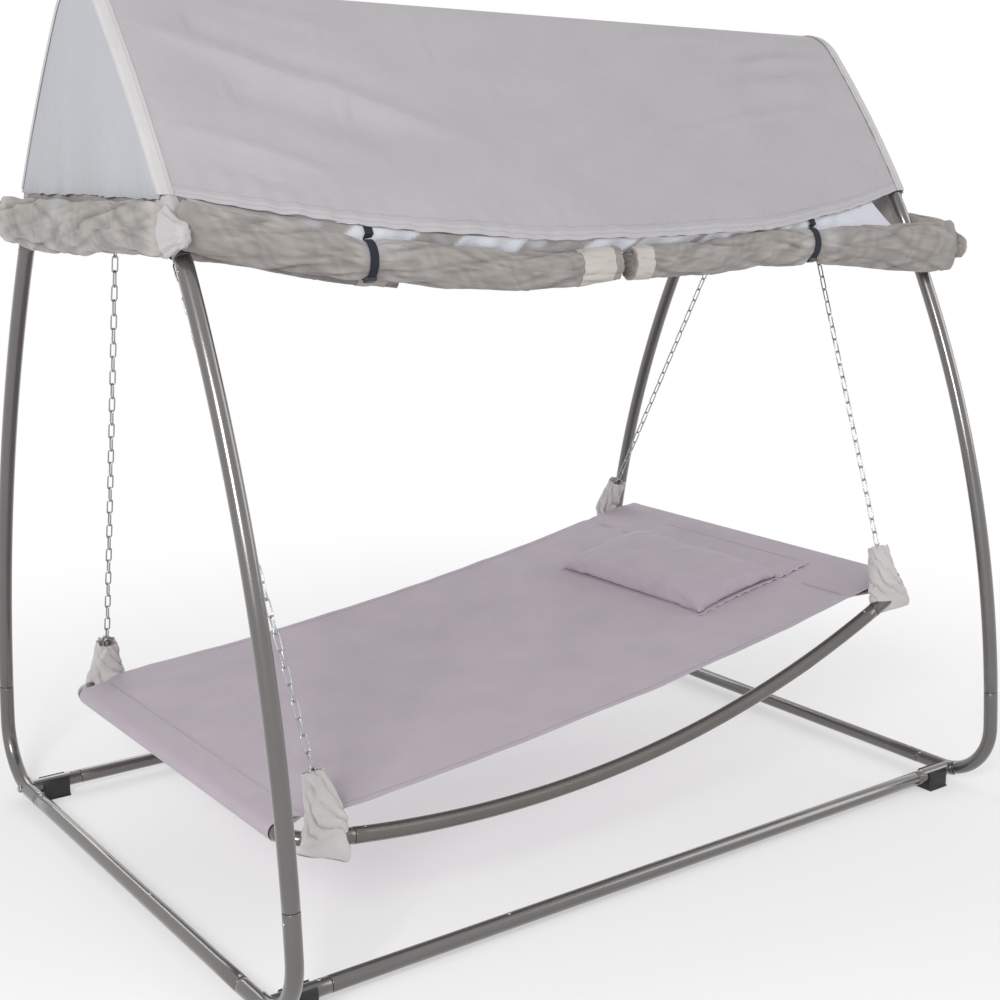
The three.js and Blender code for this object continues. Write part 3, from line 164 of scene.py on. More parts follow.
class HammockSizes(bpy.types.PropertyGroup):
    """Sizes that a user may change without moving a joint."""

    tube_facets: IntProperty(name="Tube facets", description="Sides of each steel tube", default=40, min=12,
                             max=96)
    joint_gap: length("Joint gap", "Dark gap where two tubes meet", 0.0011, 0.0004, 0.003)
    link_wire: length("Link wire", "Radius of a chain link's wire", 0.002, 0.001, 0.003)
    link_width: length("Link width", "Width of a chain link over its wire", 0.017, 0.012, 0.024)
    cloth_thickness: length("Bed cloth thickness", "Thickness of the bed cloth", 0.0014, 0.0006, 0.003)
    fold_depth: FloatProperty(name="Fold depth", description="Share of the roof folds' full depth",
                              default=1.5, min=0.0, max=2.5, subtype="FACTOR")
    stitch_pitch: length("Stitch pitch", "Distance from one stitch to the next", 0.0055, 0.003, 0.012)
    pillow_pressure: FloatProperty(name="Pillow pressure", description="Filling pressure of the pillow",
                                   default=3.2, min=0.5, max=8.0)


def colour(name, description, *eight_bit):
    """Colour setting whose default is given in 8-bit values."""
    values = np.array(eight_bit) / 255.0
    linear = np.where(values <= 0.04045, values / 12.92, ((values + 0.055) / 1.055) ** 2.4)
    return FloatVectorProperty(name=name, description=description, subtype="COLOR", size=3, min=0.0, max=1.0,
                               default=tuple(linear))


class HammockColours(bpy.types.PropertyGroup):
    """Colours of the finishes."""

    stand_steel: colour("Stand steel", "Powder coat of the stand", 98, 95, 93)
    bed_steel: colour("Bed steel", "Powder coat of the bed frame", 90, 86, 83)
    zinc: colour("Zinc", "Chains, eyes, hooks and bolts", 172, 174, 177)
    foot_plastic: colour("Foot plastic", "Black clip feet", 30, 30, 32)
    roof: colour("Roof cloth", "Slopes of the roof", 171, 168, 171)
    gable: colour("Gable cloth", "Gables of the roof", 173, 175, 180)
    binding: colour("Binding", "Edge binding of the roof", 192, 190, 191)
    net: colour("Net", "Rolled insect net", 141, 136, 132)
    sheer: colour("Sheer net", "Single layers of net against the light", 200, 202, 210)
    tape: colour("Net tape", "Woven tape on the net's edges", 187, 181, 176)
    bed: colour("Bed cloth", "Bed cloth and pillow", 183, 172, 182)
    cover: colour("Cover cloth", "Corner covers", 197, 193, 192)
    strap: colour("Strap", "Webbing straps", 34, 38, 50)
    thread: colour("Thread", "Sewing thread", 158, 147, 153)


class HammockStage(bpy.types.PropertyGroup):
    """Light and floor."""

    key_power: FloatProperty(name="Key light", description="Power of the key light", default=225.0, min=0.0,
                             unit="POWER")
    fill_power: FloatProperty(name="Fill light", description="Power of the fill light", default=70.0, min=0.0,
                              unit="POWER")
    sky: FloatProperty(name="Sky", description="Strength of the even light from all round", default=0.55,
                       min=0.0)
    lens: FloatProperty(name="Lens", description="Focal length on a 36 mm sensor, in millimetres",
                        default=55.15, min=20.0, max=200.0)


# Numbers


def smooth(value):
    t = np.clip(value, 0.0, 1.0)
    return t * t * (3 - 2 * t)


def ripple(u, v, size, seed):
    """Smooth random surface from -1 to 1, with bumps about one size across."""
    lattice = np.random.default_rng(seed).uniform(-1, 1, (64, 64))
    a = np.asarray(u, float) / size
    b = np.asarray(v, float) / size
    i, j = np.floor(a).astype(int), np.floor(b).astype(int)
    fa, fb = smooth(a - i), smooth(b - j)
    corner = [[lattice[(i + di) % 64, (j + dj) % 64] for dj in (0, 1)] for di in (0, 1)]
    low = corner[0][0] * (1 - fa) + corner[1][0] * fa
    high = corner[0][1] * (1 - fa) + corner[1][1] * fa
    return low * (1 - fb) + high * fb


def unit(vector):
    vector = np.asarray(vector, float)
    return vector / np.linalg.norm(vector, axis=-1, keepdims=True)


def once_round(steps):
    """Angles of a full turn in even steps."""
    return np.linspace(0, 2 * math.pi, steps, endpoint=False)


def arc(centre, radius, start, end, steps):
    angles = np.linspace(start, end, steps + 1)
    return np.column_stack((centre[0] + radius * np.cos(angles), centre[1] + radius * np.sin(angles)))


def straight(half, height, count):
    """Level line in a flat drawing, its middle at zero."""
    return np.column_stack((np.linspace(-half, half, count), np.full(count, height)))


def in_space(flat, origin, u, v):
    """Puts a flat route in space, without repeated points."""
    points = np.asarray(origin) + np.outer(flat[:, 0], u) + np.outer(flat[:, 1], v)
    keep = [0] + [i for i in range(1, len(points)) if np.linalg.norm(points[i] - points[i - 1]) > 1e-5]
    return points[keep]


def travelled(route):
    """Distance along a route from its start to each of its points."""
    return np.concatenate(([0.0], np.linalg.norm(np.diff(route, axis=0), axis=1).cumsum()))


def leg_outside(z):
    return LEG_CENTRE_Y + np.sqrt((LEG_RADIUS + TUBE_R) ** 2 - (np.asarray(z) - LEG_UPRIGHT_Z) ** 2)


# Meshes


def linked(name, data):
    """New object in the scene."""
    thing = bpy.data.objects.new(name, data)
    bpy.context.scene.collection.objects.link(thing)
    return thing


def points_of(mesh):
    """A mesh's points, one to a row."""
    flat = np.empty(3 * len(mesh.vertices))
    mesh.vertices.foreach_get("co", flat)
    return flat.reshape(-1, 3)


def surface(across, along):
    """Surface coordinates in metres, from the places of a grid's columns and rows."""
    return np.stack(np.meshgrid(across, along), axis=-1)


class Skin:
    """Collects points, faces and surface coordinates in metres for one mesh."""

    def __init__(self):
        self.points = []
        self.faces = []
        self.corners = []

    def add(self, points):
        start = len(self.points)
        self.points.extend(np.asarray(points, float).reshape(-1, 3).tolist())
        return start

    def face(self, indices, corners=None, turned=False):
        step = -1 if turned else 1
        corners = corners or [(0.0, 0.0)] * len(indices)
        self.faces.append(tuple(indices)[::step])
        self.corners.extend(corners[::step])

    def grid(self, points, spots=None, wrap=False, flip=False):
        """Faces over a grid of points. spots are the surface coordinates, one column more where it wraps."""
        rows, columns = points.shape[:2]
        start = self.add(points)
        for i in range(rows - 1):
            for j in range(columns if wrap else columns - 1):
                loop = ((i, j), (i + 1, j), (i + 1, j + 1), (i, j + 1))
                corners = None if spots is None else [tuple(map(float, spots[place])) for place in loop]
                self.face([start + a * columns + b % columns for a, b in loop], corners, flip)
        return start

    def fan(self, ring, middle):
        """Closes a ring of point numbers on one middle point."""
        tip = self.add([middle])
        for j, a in enumerate(ring):
            self.face((a, ring[(j + 1) % len(ring)], tip))

    def build(self, name, material, sharp=40.0, face_out=True):
        mesh = bpy.data.meshes.new(name)
        mesh.from_pydata(self.points, [], self.faces)
        layer = mesh.uv_layers.new(name="UVMap")
        layer.data.foreach_set("uv", np.asarray(self.corners, np.float32).ravel())
        if face_out:
            shape = bmesh.new()
            shape.from_mesh(mesh)
            bmesh.ops.recalc_face_normals(shape, faces=shape.faces)
            shape.to_mesh(mesh)
            shape.free()
        mesh.shade_smooth()
        mesh.set_sharp_from_angle(angle=math.radians(sharp))
        mesh.validate()
        mesh.materials.append(material)
        return linked(name, mesh)


def loft(rings, name, finish, sharp=40.0):
    """A closed skin through rings of points."""
    rings = np.asarray(rings, float)
    rows, count = rings.shape[:2]
    girth = np.linalg.norm(np.diff(rings[rows // 2], axis=0), axis=1).sum()
    spots = surface(np.linspace(0, girth, count + 1), travelled(rings.mean(axis=1)))
    skin = Skin()
    start = skin.grid(rings, spots, wrap=True)
    skin.fan(range(start, start + count)[::-1], rings[0].mean(axis=0))
    last = start + (rows - 1) * count
    skin.fan(range(last, last + count), rings[-1].mean(axis=0))
    return skin.build(name, finish_of(finish), sharp)


def closed_wire(path, side, radius, sides):
    """A zinc wire along a closed flat path whose plane has the given normal."""
    other = np.cross(unit(np.roll(path, -1, axis=0) - np.roll(path, 1, axis=0)), side)
    angles = once_round(sides)[None, :, None]
    rings = path[:, None, :] + radius * (np.cos(angles) * side + np.sin(angles) * other[:, None, :])
    skin = Skin()
    skin.add(rings)
    for i in range(len(path)):
        low, high = i * sides, (i + 1) % len(path) * sides
        for j in range(sides):
            k = (j + 1) % sides
            skin.face((low + j, low + k, high + k, high + j))
    return skin.build("wire", finish_of("zinc"))


def cloth(points, spots, thickness, name, finish, wrap=False, sharp=60.0):
    """A sheet with two faces and closed edges, half its thickness to each side of a grid."""
    if wrap:
        across = (np.roll(points, -1, axis=1) - np.roll(points, 1, axis=1)) / 2
    else:
        across = np.gradient(points, axis=1)
    normal = np.cross(np.gradient(points, axis=0), across)
    normal = normal / np.maximum(np.linalg.norm(normal, axis=2, keepdims=True), 1e-12)
    rows, columns = points.shape[:2]
    skin = Skin()
    a = skin.grid(points + normal * thickness / 2, spots, wrap)
    b = skin.grid(points - normal * thickness / 2, spots, wrap, flip=True)

    def rim(first, second, turned):
        """Face over the open edge from one grid place to the next."""
        near, far = (i * columns + j % columns for i, j in (first, second))
        corners = [tuple(map(float, spots[place])) for place in (first, second, second, first)]
        skin.face((a + near, a + far, b + far, b + near), corners, turned)

    for row, turned in ((0, False), (rows - 1, True)):
        for j in range(columns if wrap else columns - 1):
            rim((row, j), (row, j + 1), turned)
    for column, turned in () if wrap else ((0, True), (columns - 1, False)):
        for i in range(rows - 1):
            rim((i, column), (i + 1, column), turned)
    return skin.build(name, finish_of(finish), sharp)


def joined(name, pieces):
    """One object from several, each with its own material kept."""
    shape = bmesh.new()
    materials = []
    for piece in pieces:
        before = len(shape.faces)
        shape.from_mesh(piece.data)
        shape.faces.ensure_lookup_table()
        material = piece.data.materials[0]
        if material not in materials:
            materials.append(material)
        for face in shape.faces[before:]:
            face.material_index = materials.index(material)
    mesh = bpy.data.meshes.new(name)
    shape.to_mesh(mesh)
    shape.free()
    for material in materials:
        mesh.materials.append(material)
    for piece in pieces:
        bpy.data.meshes.remove(piece.data)
    return linked(name, mesh)


def add_tone(piece, values):
    """Stores a value from 0, dark, to 1, light, on a piece's points, for its material to read."""
    layer = piece.data.attributes.new("tone", "FLOAT", "POINT")
    tones = np.full(len(piece.data.vertices), 0.5)
    tones[:np.size(values)] = np.ravel(values)
    layer.data.foreach_set("value", tones.astype(np.float32))


def painted_fold_light(rings):
    """Painted shade in a roll's creases and a painted highlight on its ridges, and even at its gathered ends.
    """
    reach, strength = 12, 3.6
    rings = np.asarray(rings)
    radius = np.linalg.norm(rings - rings.mean(axis=1, keepdims=True), axis=2)
    tall = np.pad(radius, ((reach, reach), (0, 0)), mode="edge")
    even = sum(tall[step:step + len(radius)] for step in range(2 * reach + 1)) / (2 * reach + 1)
    number = np.arange(len(radius))
    settled = smooth((np.minimum(number, number[::-1]) - 8) / 12)[:, None]
    return np.clip(0.5 + (radius / even - 1) * strength * settled, 0, 1)


def settle(piece, body, slot, *nodes):
    """Hands a finished piece to the frame."""
    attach(piece, body)
    if nodes:
        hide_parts(*nodes)
    return piece


# Nodes


def fill(tree, made, inputs):
    """Links or sets a node's inputs."""
    for label, value in inputs.items():
        if isinstance(value, bpy.types.NodeSocket):
            tree.links.new(value, made.inputs[label])
        else:
            made.inputs[label].default_value = value
    return made


def node(tree, kind, inputs=None, **settings):
    """New node with its settings and inputs."""
    made = tree.nodes.new(kind)
    for label, value in settings.items():
        setattr(made, label, value)
    return fill(tree, made, inputs or {})


def math_node(tree, operation, *values, clamp=False):
    made = node(tree, "ShaderNodeMath", dict(enumerate(values)), operation=operation, use_clamp=clamp)
    return made.outputs[0]


def new_tree(name, kind, inputs, outputs):
    """Node group with inputs as (label, type) or (label, type, default), and its inputs' sockets."""
    tree = bpy.data.node_groups.new(name, kind)
    for label, socket_kind, *value in inputs:
        socket = tree.interface.new_socket(label, in_out="INPUT", socket_type="NodeSocket" + socket_kind)
        if value:
            socket.default_value = value[0]
    for label, socket_kind in outputs:
        tree.interface.new_socket(label, in_out="OUTPUT", socket_type="NodeSocket" + socket_kind)
    return tree, node(tree, "NodeGroupInput").outputs


def ended(tree, results):
    """Links a group's results to its output."""
    node(tree, "NodeGroupOutput", results)
    return tree


MADE = {}


def made_once(build):
    """The node group that a function builds, built on first use."""
    if build not in MADE:
        MADE[build] = build()
    return MADE[build]


# Shader node groups


def noise(tree, place, scale, detail, distortion=0.0):
    made = node(tree, "ShaderNodeTexNoise",
                {"Vector": place, "Scale": scale, "Detail": detail, "Distortion": distortion})
    return made.outputs["Fac"]


def map_range(tree, value, **limits):
    """Value carried from one range to another, whose limits are given where they aren't 0 and 1."""
    limits = {label.replace("_", " ").title(): limit for label, limit in limits.items()}
    return node(tree, "ShaderNodeMapRange", {"Value": value, **limits}).outputs[0]


def colour_mix(tree, factor, first, second):
    """Mixes two colours, each a socket or three values."""
    first, second = ((*part, 1.0) if isinstance(part, tuple) else part for part in (first, second))
    return node(tree, "ShaderNodeMix", {"Factor": factor, 6: first, 7: second}, data_type="RGBA").outputs[2]


def weave_group():
    """Plain weave on coordinates in metres: height, and a mask that is 1 on the threads."""
    group, given = new_tree(
        "plain_weave", "ShaderNodeTree",
        (("Vector", "Vector"), ("Thread Pitch", "Float", 0.0016), ("Openness", "Float", 0.2)),
        (("Height", "Float"), ("Thread", "Float")))
    split = node(group, "ShaderNodeSeparateXYZ", {0: given["Vector"]})
    turns = math_node(group, "DIVIDE", 2 * math.pi, given["Thread Pitch"])
    across, along = (math_node(group, "SINE", math_node(group, "MULTIPLY", split.outputs[axis], turns))
                     for axis in "XY")
    gap = math_node(group, "MULTIPLY", *(math_node(group, "ABSOLUTE", wave) for wave in (across, along)))
    thread = math_node(group, "SUBTRACT", 1.0, math_node(group, "MULTIPLY", gap, given["Openness"]))
    height = math_node(group, "MULTIPLY_ADD", math_node(group, "MULTIPLY", across, along), 0.5, 0.5)
    return ended(group, {"Height": height, "Thread": thread})


def mottle_group():
    """Soft blotches and fine specks on one vector."""
    group, given = new_tree(
        "mottle", "ShaderNodeTree",
        (("Vector", "Vector"), ("Scale", "Float", 14.0), ("Fine Scale", "Float", 160.0),
         ("Fine Share", "Float", 0.35)),
        (("Factor", "Float"),))
    soft = noise(group, given["Vector"], given["Scale"], 4.0)
    fine = noise(group, given["Vector"], given["Fine Scale"], 2.0)
    blend = node(group, "ShaderNodeMix", {"Factor": given["Fine Share"], 2: soft, 3: fine})
    return ended(group, {"Factor": map_range(group, blend.outputs[0], from_min=0.34, from_max=0.66)})


def crumple_group():
    """Fine creases of handled cloth as a height."""
    group, given = new_tree(
        "crumple", "ShaderNodeTree",
        (("Vector", "Vector"), ("Scale", "Float", 9.0), ("Stretch", "Vector", (1.0, 1.0, 1.0))),
        (("Height", "Float"),))
    scaled = node(group, "ShaderNodeVectorMath", {0: given["Vector"], 1: given["Stretch"]},
                  operation="MULTIPLY")
    warp = noise(group, scaled.outputs[0], given["Scale"], 3.0, 1.4)
    off_middle = math_node(group, "ABSOLUTE", math_node(group, "SUBTRACT", warp, 0.5))
    ridge = math_node(group, "POWER", off_middle, 0.6)
    return ended(group, {"Height": math_node(group, "SUBTRACT", 1.0, ridge)})


def placed(tree, build, **inputs):
    """One of the groups above in a material."""
    inputs = {label.replace("_", " ").title(): value for label, value in inputs.items()}
    return node(tree, "ShaderNodeGroup", inputs, node_tree=made_once(build))


# Materials


def new_material(name, coordinates):
    """Material with its tree, its shader and one kind of coordinates."""
    material = bpy.data.materials.new(name)
    material.use_nodes = True
    tree = material.node_tree
    place = node(tree, "ShaderNodeTexCoord").outputs[coordinates]
    return material, tree, tree.nodes["Principled BSDF"], place


def bump(tree, shader, *layers):
    """Relief in layers of (height, distance, strength), each over the one before."""
    below = {}
    for height, distance, strength in layers:
        made = node(tree, "ShaderNodeBump",
                    {"Height": height, "Distance": distance, "Strength": strength, **below})
        below = {"Normal": made.outputs["Normal"]}
    fill(tree, shader, below)


def shade(colour_values, factor):
    return tuple(min(1.0, float(value) * factor) for value in colour_values)


def metal_material(name, base, metallic, rough, grain, grain_depth, blotch, coat=0.0):
    """Coated or plated metal with a fine grain, blotches and a changing gloss."""
    material, tree, shader, place = new_material(name, "Object")
    cloud = placed(tree, mottle_group, vector=place, scale=blotch, fine_scale=grain,
                   fine_share=0.3).outputs[0]
    fill(tree, shader, {
        "Base Color": colour_mix(tree, cloud, shade(base, 0.94), shade(base, 1.05)),
        "Roughness": map_range(tree, cloud, to_min=rough * 0.82, to_max=min(1.0, rough * 1.22)),
        "Metallic": metallic, "Coat Weight": coat, "Coat Roughness": 0.13})
    bump(tree, shader, (noise(tree, place, grain, 2.0), grain_depth, 0.6))
    return material


def cloth_material(name, base, pitch, openness, blotch, contrast, crease, crease_depth,
                   stretch=(1.0, 1.0, 1.0), band=None, sheen=0.18, thread_depth=0.00018):
    """Woven cloth on its own surface coordinates, with soft blotches and creases.

    band gives the height and the lightness of a hem band."""
    material, tree, shader, place = new_material(name, "UV")
    cloud = placed(tree, mottle_group, vector=place, scale=blotch, fine_scale=blotch * 14, fine_share=0.3)
    weave = placed(tree, weave_group, vector=place, thread_pitch=pitch, openness=openness)
    folds = placed(tree, crumple_group, vector=place, scale=crease, stretch=stretch)
    mixed = colour_mix(tree, cloud.outputs[0], shade(base, 1 - contrast), shade(base, 1 + contrast))
    mixed = colour_mix(tree, weave.outputs["Thread"], shade(base, 0.45), mixed)
    if band is not None:
        split = node(tree, "ShaderNodeSeparateXYZ", {0: place})
        inside = math_node(tree, "LESS_THAN", split.outputs["Y"], band[0])
        mixed = colour_mix(tree, inside, mixed, shade(base, band[1]))
    fill(tree, shader, {"Base Color": mixed, "Roughness": 0.82, "Sheen Weight": sheen, "Sheen Roughness": 0.5,
                        "Specular IOR Level": 0.25})
    bump(tree, shader, (folds.outputs[0], crease_depth, 0.7), (weave.outputs["Height"], thread_depth, 0.8))
    return material


def net_material(name, base, sheer_factor, patches, low_tone, single):
    """Fine net in layers: small open mesh, and slanting bands where layers cross.

    On a roll the piece's tone paints shade into its creases and a highlight onto its ridges. On a single
    layer it goes from the dark of more layers to the sheer net's own light."""
    material, tree, shader, place = new_material(name, "UV")
    light = shade(bpy.context.scene.hammock_colours.sheer, sheer_factor)
    weave = placed(tree, weave_group, vector=place, thread_pitch=0.0046, openness=0.95)
    cloud = placed(tree, mottle_group, vector=place, scale=11.0, fine_scale=70.0, fine_share=0.25)
    folds = placed(tree, crumple_group, vector=place, scale=13.0, stretch=(1.0, 0.55, 1.0))
    mixed = colour_mix(tree, cloud.outputs[0], shade(base, 0.86), shade(base, 1.12))
    mixed = colour_mix(tree, weave.outputs["Thread"], shade(base, 0.55), mixed)
    layers = node(tree, "ShaderNodeTexWave",
                  {"Vector": place, "Scale": 11.0, "Distortion": 16.0, "Detail": 2.0, "Detail Scale": 0.7},
                  bands_direction="DIAGONAL")
    crossing = math_node(tree, "MULTIPLY", layers.outputs["Fac"], 0.2)
    mixed = colour_mix(tree, crossing, mixed, shade(base, 1.5))
    tone = node(tree, "ShaderNodeAttribute", attribute_name="tone").outputs["Fac"]
    if single:
        mixed = colour_mix(tree, tone, shade(base, low_tone), light)
    else:
        # painted shade: a roll's creases go towards a dark share of the net's colour
        hollow = math_node(tree, "MULTIPLY", tone, 2.0, clamp=True)
        mixed = colour_mix(tree, hollow, shade(base, low_tone), mixed)
        # painted highlight: a roll's ridges go towards a much lighter net colour
        crest = math_node(tree, "SUBTRACT", math_node(tree, "MULTIPLY", tone, 1.3), 0.65, clamp=True)
        mixed = colour_mix(tree, crest, mixed, shade(base, 1.9))
    lit = map_range(tree, noise(tree, place, patches, 1.0), from_min=0.56, from_max=0.66, to_max=0.35)
    mixed = colour_mix(tree, lit, mixed, light)
    fill(tree, shader, {"Base Color": mixed, "Roughness": 0.78, "Sheen Weight": 0.25})
    bump(tree, shader, (folds.outputs[0], 0.003, 0.8), (weave.outputs["Height"], 0.0003, 0.8))
    return material


# Finishes: maker, colour setting, lightness beside it, and the maker's other values in its own order
FINISHES = {
    "stand_steel": (metal_material, "stand_steel", 1, 0.6, 0.24, 900.0, 0.00002, 7.0, 1.0),
    "bed_steel": (metal_material, "bed_steel", 1, 0.6, 0.26, 900.0, 0.00002, 7.0, 0.8),
    "zinc": (metal_material, "zinc", 1, 1.0, 0.27, 420.0, 0.00006, 60.0),
    "foot_plastic": (metal_material, "foot_plastic", 1, 0.0, 0.5, 650.0, 0.00012, 40.0),
    "buckle": (metal_material, "foot_plastic", 1.2, 0.0, 0.42, 500.0, 0.00008, 40.0),
    "roof_slope": (cloth_material, "roof", 1, 0.0011, 0.1, 4.0, 0.035, 5.0, 0.002, (1.0, 1.0, 1.0),
                   (0.026, 1.09)),
    "roof_gable": (cloth_material, "gable", 1, 0.0011, 0.1, 5.0, 0.03, 5.0, 0.002, (2.2, 0.5, 1.0)),
    "binding": (cloth_material, "binding", 1, 0.0013, 0.12, 12.0, 0.04, 22.0, 0.0012),
    "cuff": (cloth_material, "binding", 0.9, 0.002, 0.5, 14.0, 0.1, 24.0, 0.002),
    "tape": (cloth_material, "tape", 1, 0.0018, 0.25, 16.0, 0.05, 20.0, 0.0008),
    "bed_cloth": (cloth_material, "bed", 1, 0.0017, 0.35, 6.0, 0.055, 3.2, 0.0022),
    "pillow": (cloth_material, "bed", 1, 0.0017, 0.35, 8.0, 0.05, 7.0, 0.0022),
    "pillow_edge": (cloth_material, "bed", 1.12, 0.0015, 0.4, 20.0, 0.08, 30.0, 0.001),
    "cover_cloth": (cloth_material, "cover", 1, 0.0014, 0.25, 10.0, 0.06, 16.0, 0.0022, (1.0, 0.6, 1.0)),
    "strap": (cloth_material, "strap", 1, 0.0022, 0.5, 30.0, 0.15, 25.0, 0.0006, (1.0, 1.0, 1.0), None, 0.05,
              0.0004),
    "thread": (cloth_material, "thread", 1, 0.0006, 0.4, 40.0, 0.1, 30.0, 0.0002),
    # the net's 0.45 is the lightness of the shade painted into its rolls' creases
    "net": (net_material, "net", 1, 1, 3.2, 0.45, False),
    "net_header": (net_material, "net", 1, 0.97, 9.0, 0.92, True),
}
MATERIALS = {}


def finish_of(name):
    """The named finish, made on first use."""
    if name not in MATERIALS:
        make, setting, factor, *values = FINISHES[name]
        base = shade(getattr(bpy.context.scene.hammock_colours, setting), factor)
        MATERIALS[name] = make(name, base, *values)
    return MATERIALS[name]


# Geometry Nodes


def geometry_tree(name, *inputs):
    """Tree for a modifier, with a mesh and a material among its inputs."""
    inputs = (("Geometry", "Geometry"), *inputs, ("Material", "Material"))
    return new_tree(name, "GeometryNodeTree", inputs, (("Geometry", "Geometry"),))


def laid_out(tree, given, points, piece, rotation):
    """Ends a tree with a smooth piece on each point, made real, in the given material."""
    soft = node(tree, "GeometryNodeSetShadeSmooth", {"Geometry": piece})
    laid = node(tree, "GeometryNodeInstanceOnPoints",
                {"Points": points, "Instance": soft.outputs[0], "Rotation": rotation})
    real = node(tree, "GeometryNodeRealizeInstances", {"Geometry": laid.outputs[0]})
    finish = node(tree, "GeometryNodeSetMaterial",
                  {"Geometry": real.outputs[0], "Material": given["Material"]})
    return ended(tree, {"Geometry": finish.outputs[0]})


def chain_tree():
    """Links down the local Z axis, each a quarter turn on from the last."""
    tree, given = geometry_tree("chain_links", ("Links", "Int"), ("Pitch", "Float"), ("Width", "Float"),
                                ("Wire Radius", "Float"))
    wire = math_node(tree, "MULTIPLY", given["Wire Radius"], 2.0)
    short_side = math_node(tree, "SUBTRACT", given["Width"], wire)
    outline = node(tree, "GeometryNodeCurvePrimitiveQuadrilateral",
                   {"Width": math_node(tree, "ADD", given["Pitch"], wire), "Height": short_side})
    corner = math_node(tree, "MULTIPLY", short_side, 0.499)
    rounded = node(tree, "GeometryNodeFilletCurve",
                   {"Curve": outline.outputs[0], "Radius": corner, "Count": 3}, mode="POLY")
    circle = node(tree, "GeometryNodeCurvePrimitiveCircle", {"Resolution": 6, "Radius": given["Wire Radius"]})
    link = node(tree, "GeometryNodeCurveToMesh",
                {"Curve": rounded.outputs[0], "Profile Curve": circle.outputs[0]})
    upright = node(tree, "GeometryNodeTransform",
                   {"Geometry": link.outputs[0], "Rotation": (0.0, math.pi / 2, 0.0)})
    drop = node(tree, "ShaderNodeCombineXYZ", {"Z": math_node(tree, "MULTIPLY", given["Pitch"], -1.0)})
    spots = node(tree, "GeometryNodeMeshLine", {"Count": given["Links"], "Offset": drop.outputs[0]})
    odd = math_node(tree, "MODULO", node(tree, "GeometryNodeInputIndex").outputs[0], 2.0)
    turn = node(tree, "ShaderNodeCombineXYZ", {"Z": math_node(tree, "MULTIPLY", odd, math.pi / 2)})
    return laid_out(tree, given, spots.outputs[0], upright.outputs[0], turn.outputs[0])


def stitch_tree():
    """Short threads laid end to end along every line of the input mesh."""
    tree, given = geometry_tree("stitch_run", ("Pitch", "Float"), ("Length", "Float"),
                                ("Thread Radius", "Float"))
    lines = node(tree, "GeometryNodeMeshToCurve", {"Mesh": given["Geometry"]})
    spots = node(tree, "GeometryNodeCurveToPoints", {"Curve": lines.outputs[0], "Length": given["Pitch"]},
                 mode="LENGTH")
    thread = node(tree, "GeometryNodeMeshCylinder",
                  {"Vertices": 5, "Radius": given["Thread Radius"], "Depth": given["Length"]})
    return laid_out(tree, given, spots.outputs["Points"], thread.outputs["Mesh"], spots.outputs["Rotation"])


def pin_tree():
    """Domed push pins on the input's points, each facing along the point's stored direction."""
    tree, given = geometry_tree("push_pins", ("Radius", "Float"), ("Height", "Float"))
    ball = node(tree, "GeometryNodeMeshUVSphere", {"Segments": 16, "Rings": 8, "Radius": 1.0})
    size = node(tree, "ShaderNodeCombineXYZ",
                {"X": given["Radius"], "Y": given["Radius"], "Z": given["Height"]})
    dome = node(tree, "GeometryNodeTransform", {"Geometry": ball.outputs["Mesh"], "Scale": size.outputs[0]})
    points = node(tree, "GeometryNodeMeshToPoints", {"Mesh": given["Geometry"]})
    facing = node(tree, "GeometryNodeInputNamedAttribute", {"Name": "facing"}, data_type="FLOAT_VECTOR")
    aim = node(tree, "FunctionNodeAlignEulerToVector", {"Vector": facing.outputs[0]}, axis="Z")
    return laid_out(tree, given, points.outputs[0], dome.outputs[0], aim.outputs[0])


def grown(name, build, base_mesh, finish, **values):
    """Runs a tree on a mesh and keeps the result as a plain mesh object."""
    source = linked(name + "_source", base_mesh)
    modifier = source.modifiers.new("nodes", "NODES")
    modifier.node_group = made_once(build)
    values = {label.replace("_", " ").title(): value for label, value in values.items()}
    values["Material"] = finish_of(finish)
    for item in modifier.node_group.interface.items_tree:
        if item.in_out == "INPUT" and item.name in values:
            modifier[item.identifier] = values[item.name]
    graph = bpy.context.evaluated_depsgraph_get()
    mesh = bpy.data.meshes.new_from_object(source.evaluated_get(graph))
    source.modifiers.clear()
    bpy.data.meshes.remove(base_mesh)
    if not mesh.polygons:
        raise RuntimeError("the node tree made no faces for " + name)
    mesh.name = name
    return linked(name, mesh)


def stitches(name, lines, body, slot):
    """Rows of stitches along lines of points."""
    pitch = bpy.context.scene.hammock_sizes.stitch_pitch
    mesh = bpy.data.meshes.new(name)
    points, edges = [], []
    for line in lines:
        start = len(points)
        points.extend(np.asarray(line, float).tolist())
        edges.extend((start + i, start + i + 1) for i in range(len(line) - 1))
    mesh.from_pydata(points, edges, [])
    piece = grown(name, stitch_tree, mesh, "thread", pitch=pitch, length=pitch * 0.66, thread_radius=0.00045)
    settle(piece, body, slot)


def push_pins(name, spots, body):
    """Pins at (place, facing) pairs."""
    places, headings = zip(*spots)
    mesh = bpy.data.meshes.new(name)
    mesh.from_pydata(np.array(places).tolist(), [], [])
    facing = mesh.attributes.new("facing", "FLOAT_VECTOR", "POINT")
    facing.data.foreach_set("vector", np.ravel(headings))
    piece = grown(name, pin_tree, mesh, "zinc", radius=0.0045, height=0.0026)
    settle(piece, body, "zinc")


# Steel tubes


def end_profile(kind, gap):
    """Shift and radius from the tube's shoulder to the middle of its closed end."""
    rim = [(-0.0012, TUBE_R), (-0.0005, TUBE_R - 0.0004), (0.0, TUBE_R - 0.0011)]
    rim = [(shift - gap / 2, radius) for shift, radius in rim]
    if kind == "spigot":
        return rim + [(-gap / 2, SPIGOT_R), (0.040, SPIGOT_R), (0.042, SPIGOT_R - 0.0015)]
    return rim + [(-gap / 2, BORE_R), (-0.045, BORE_R)]


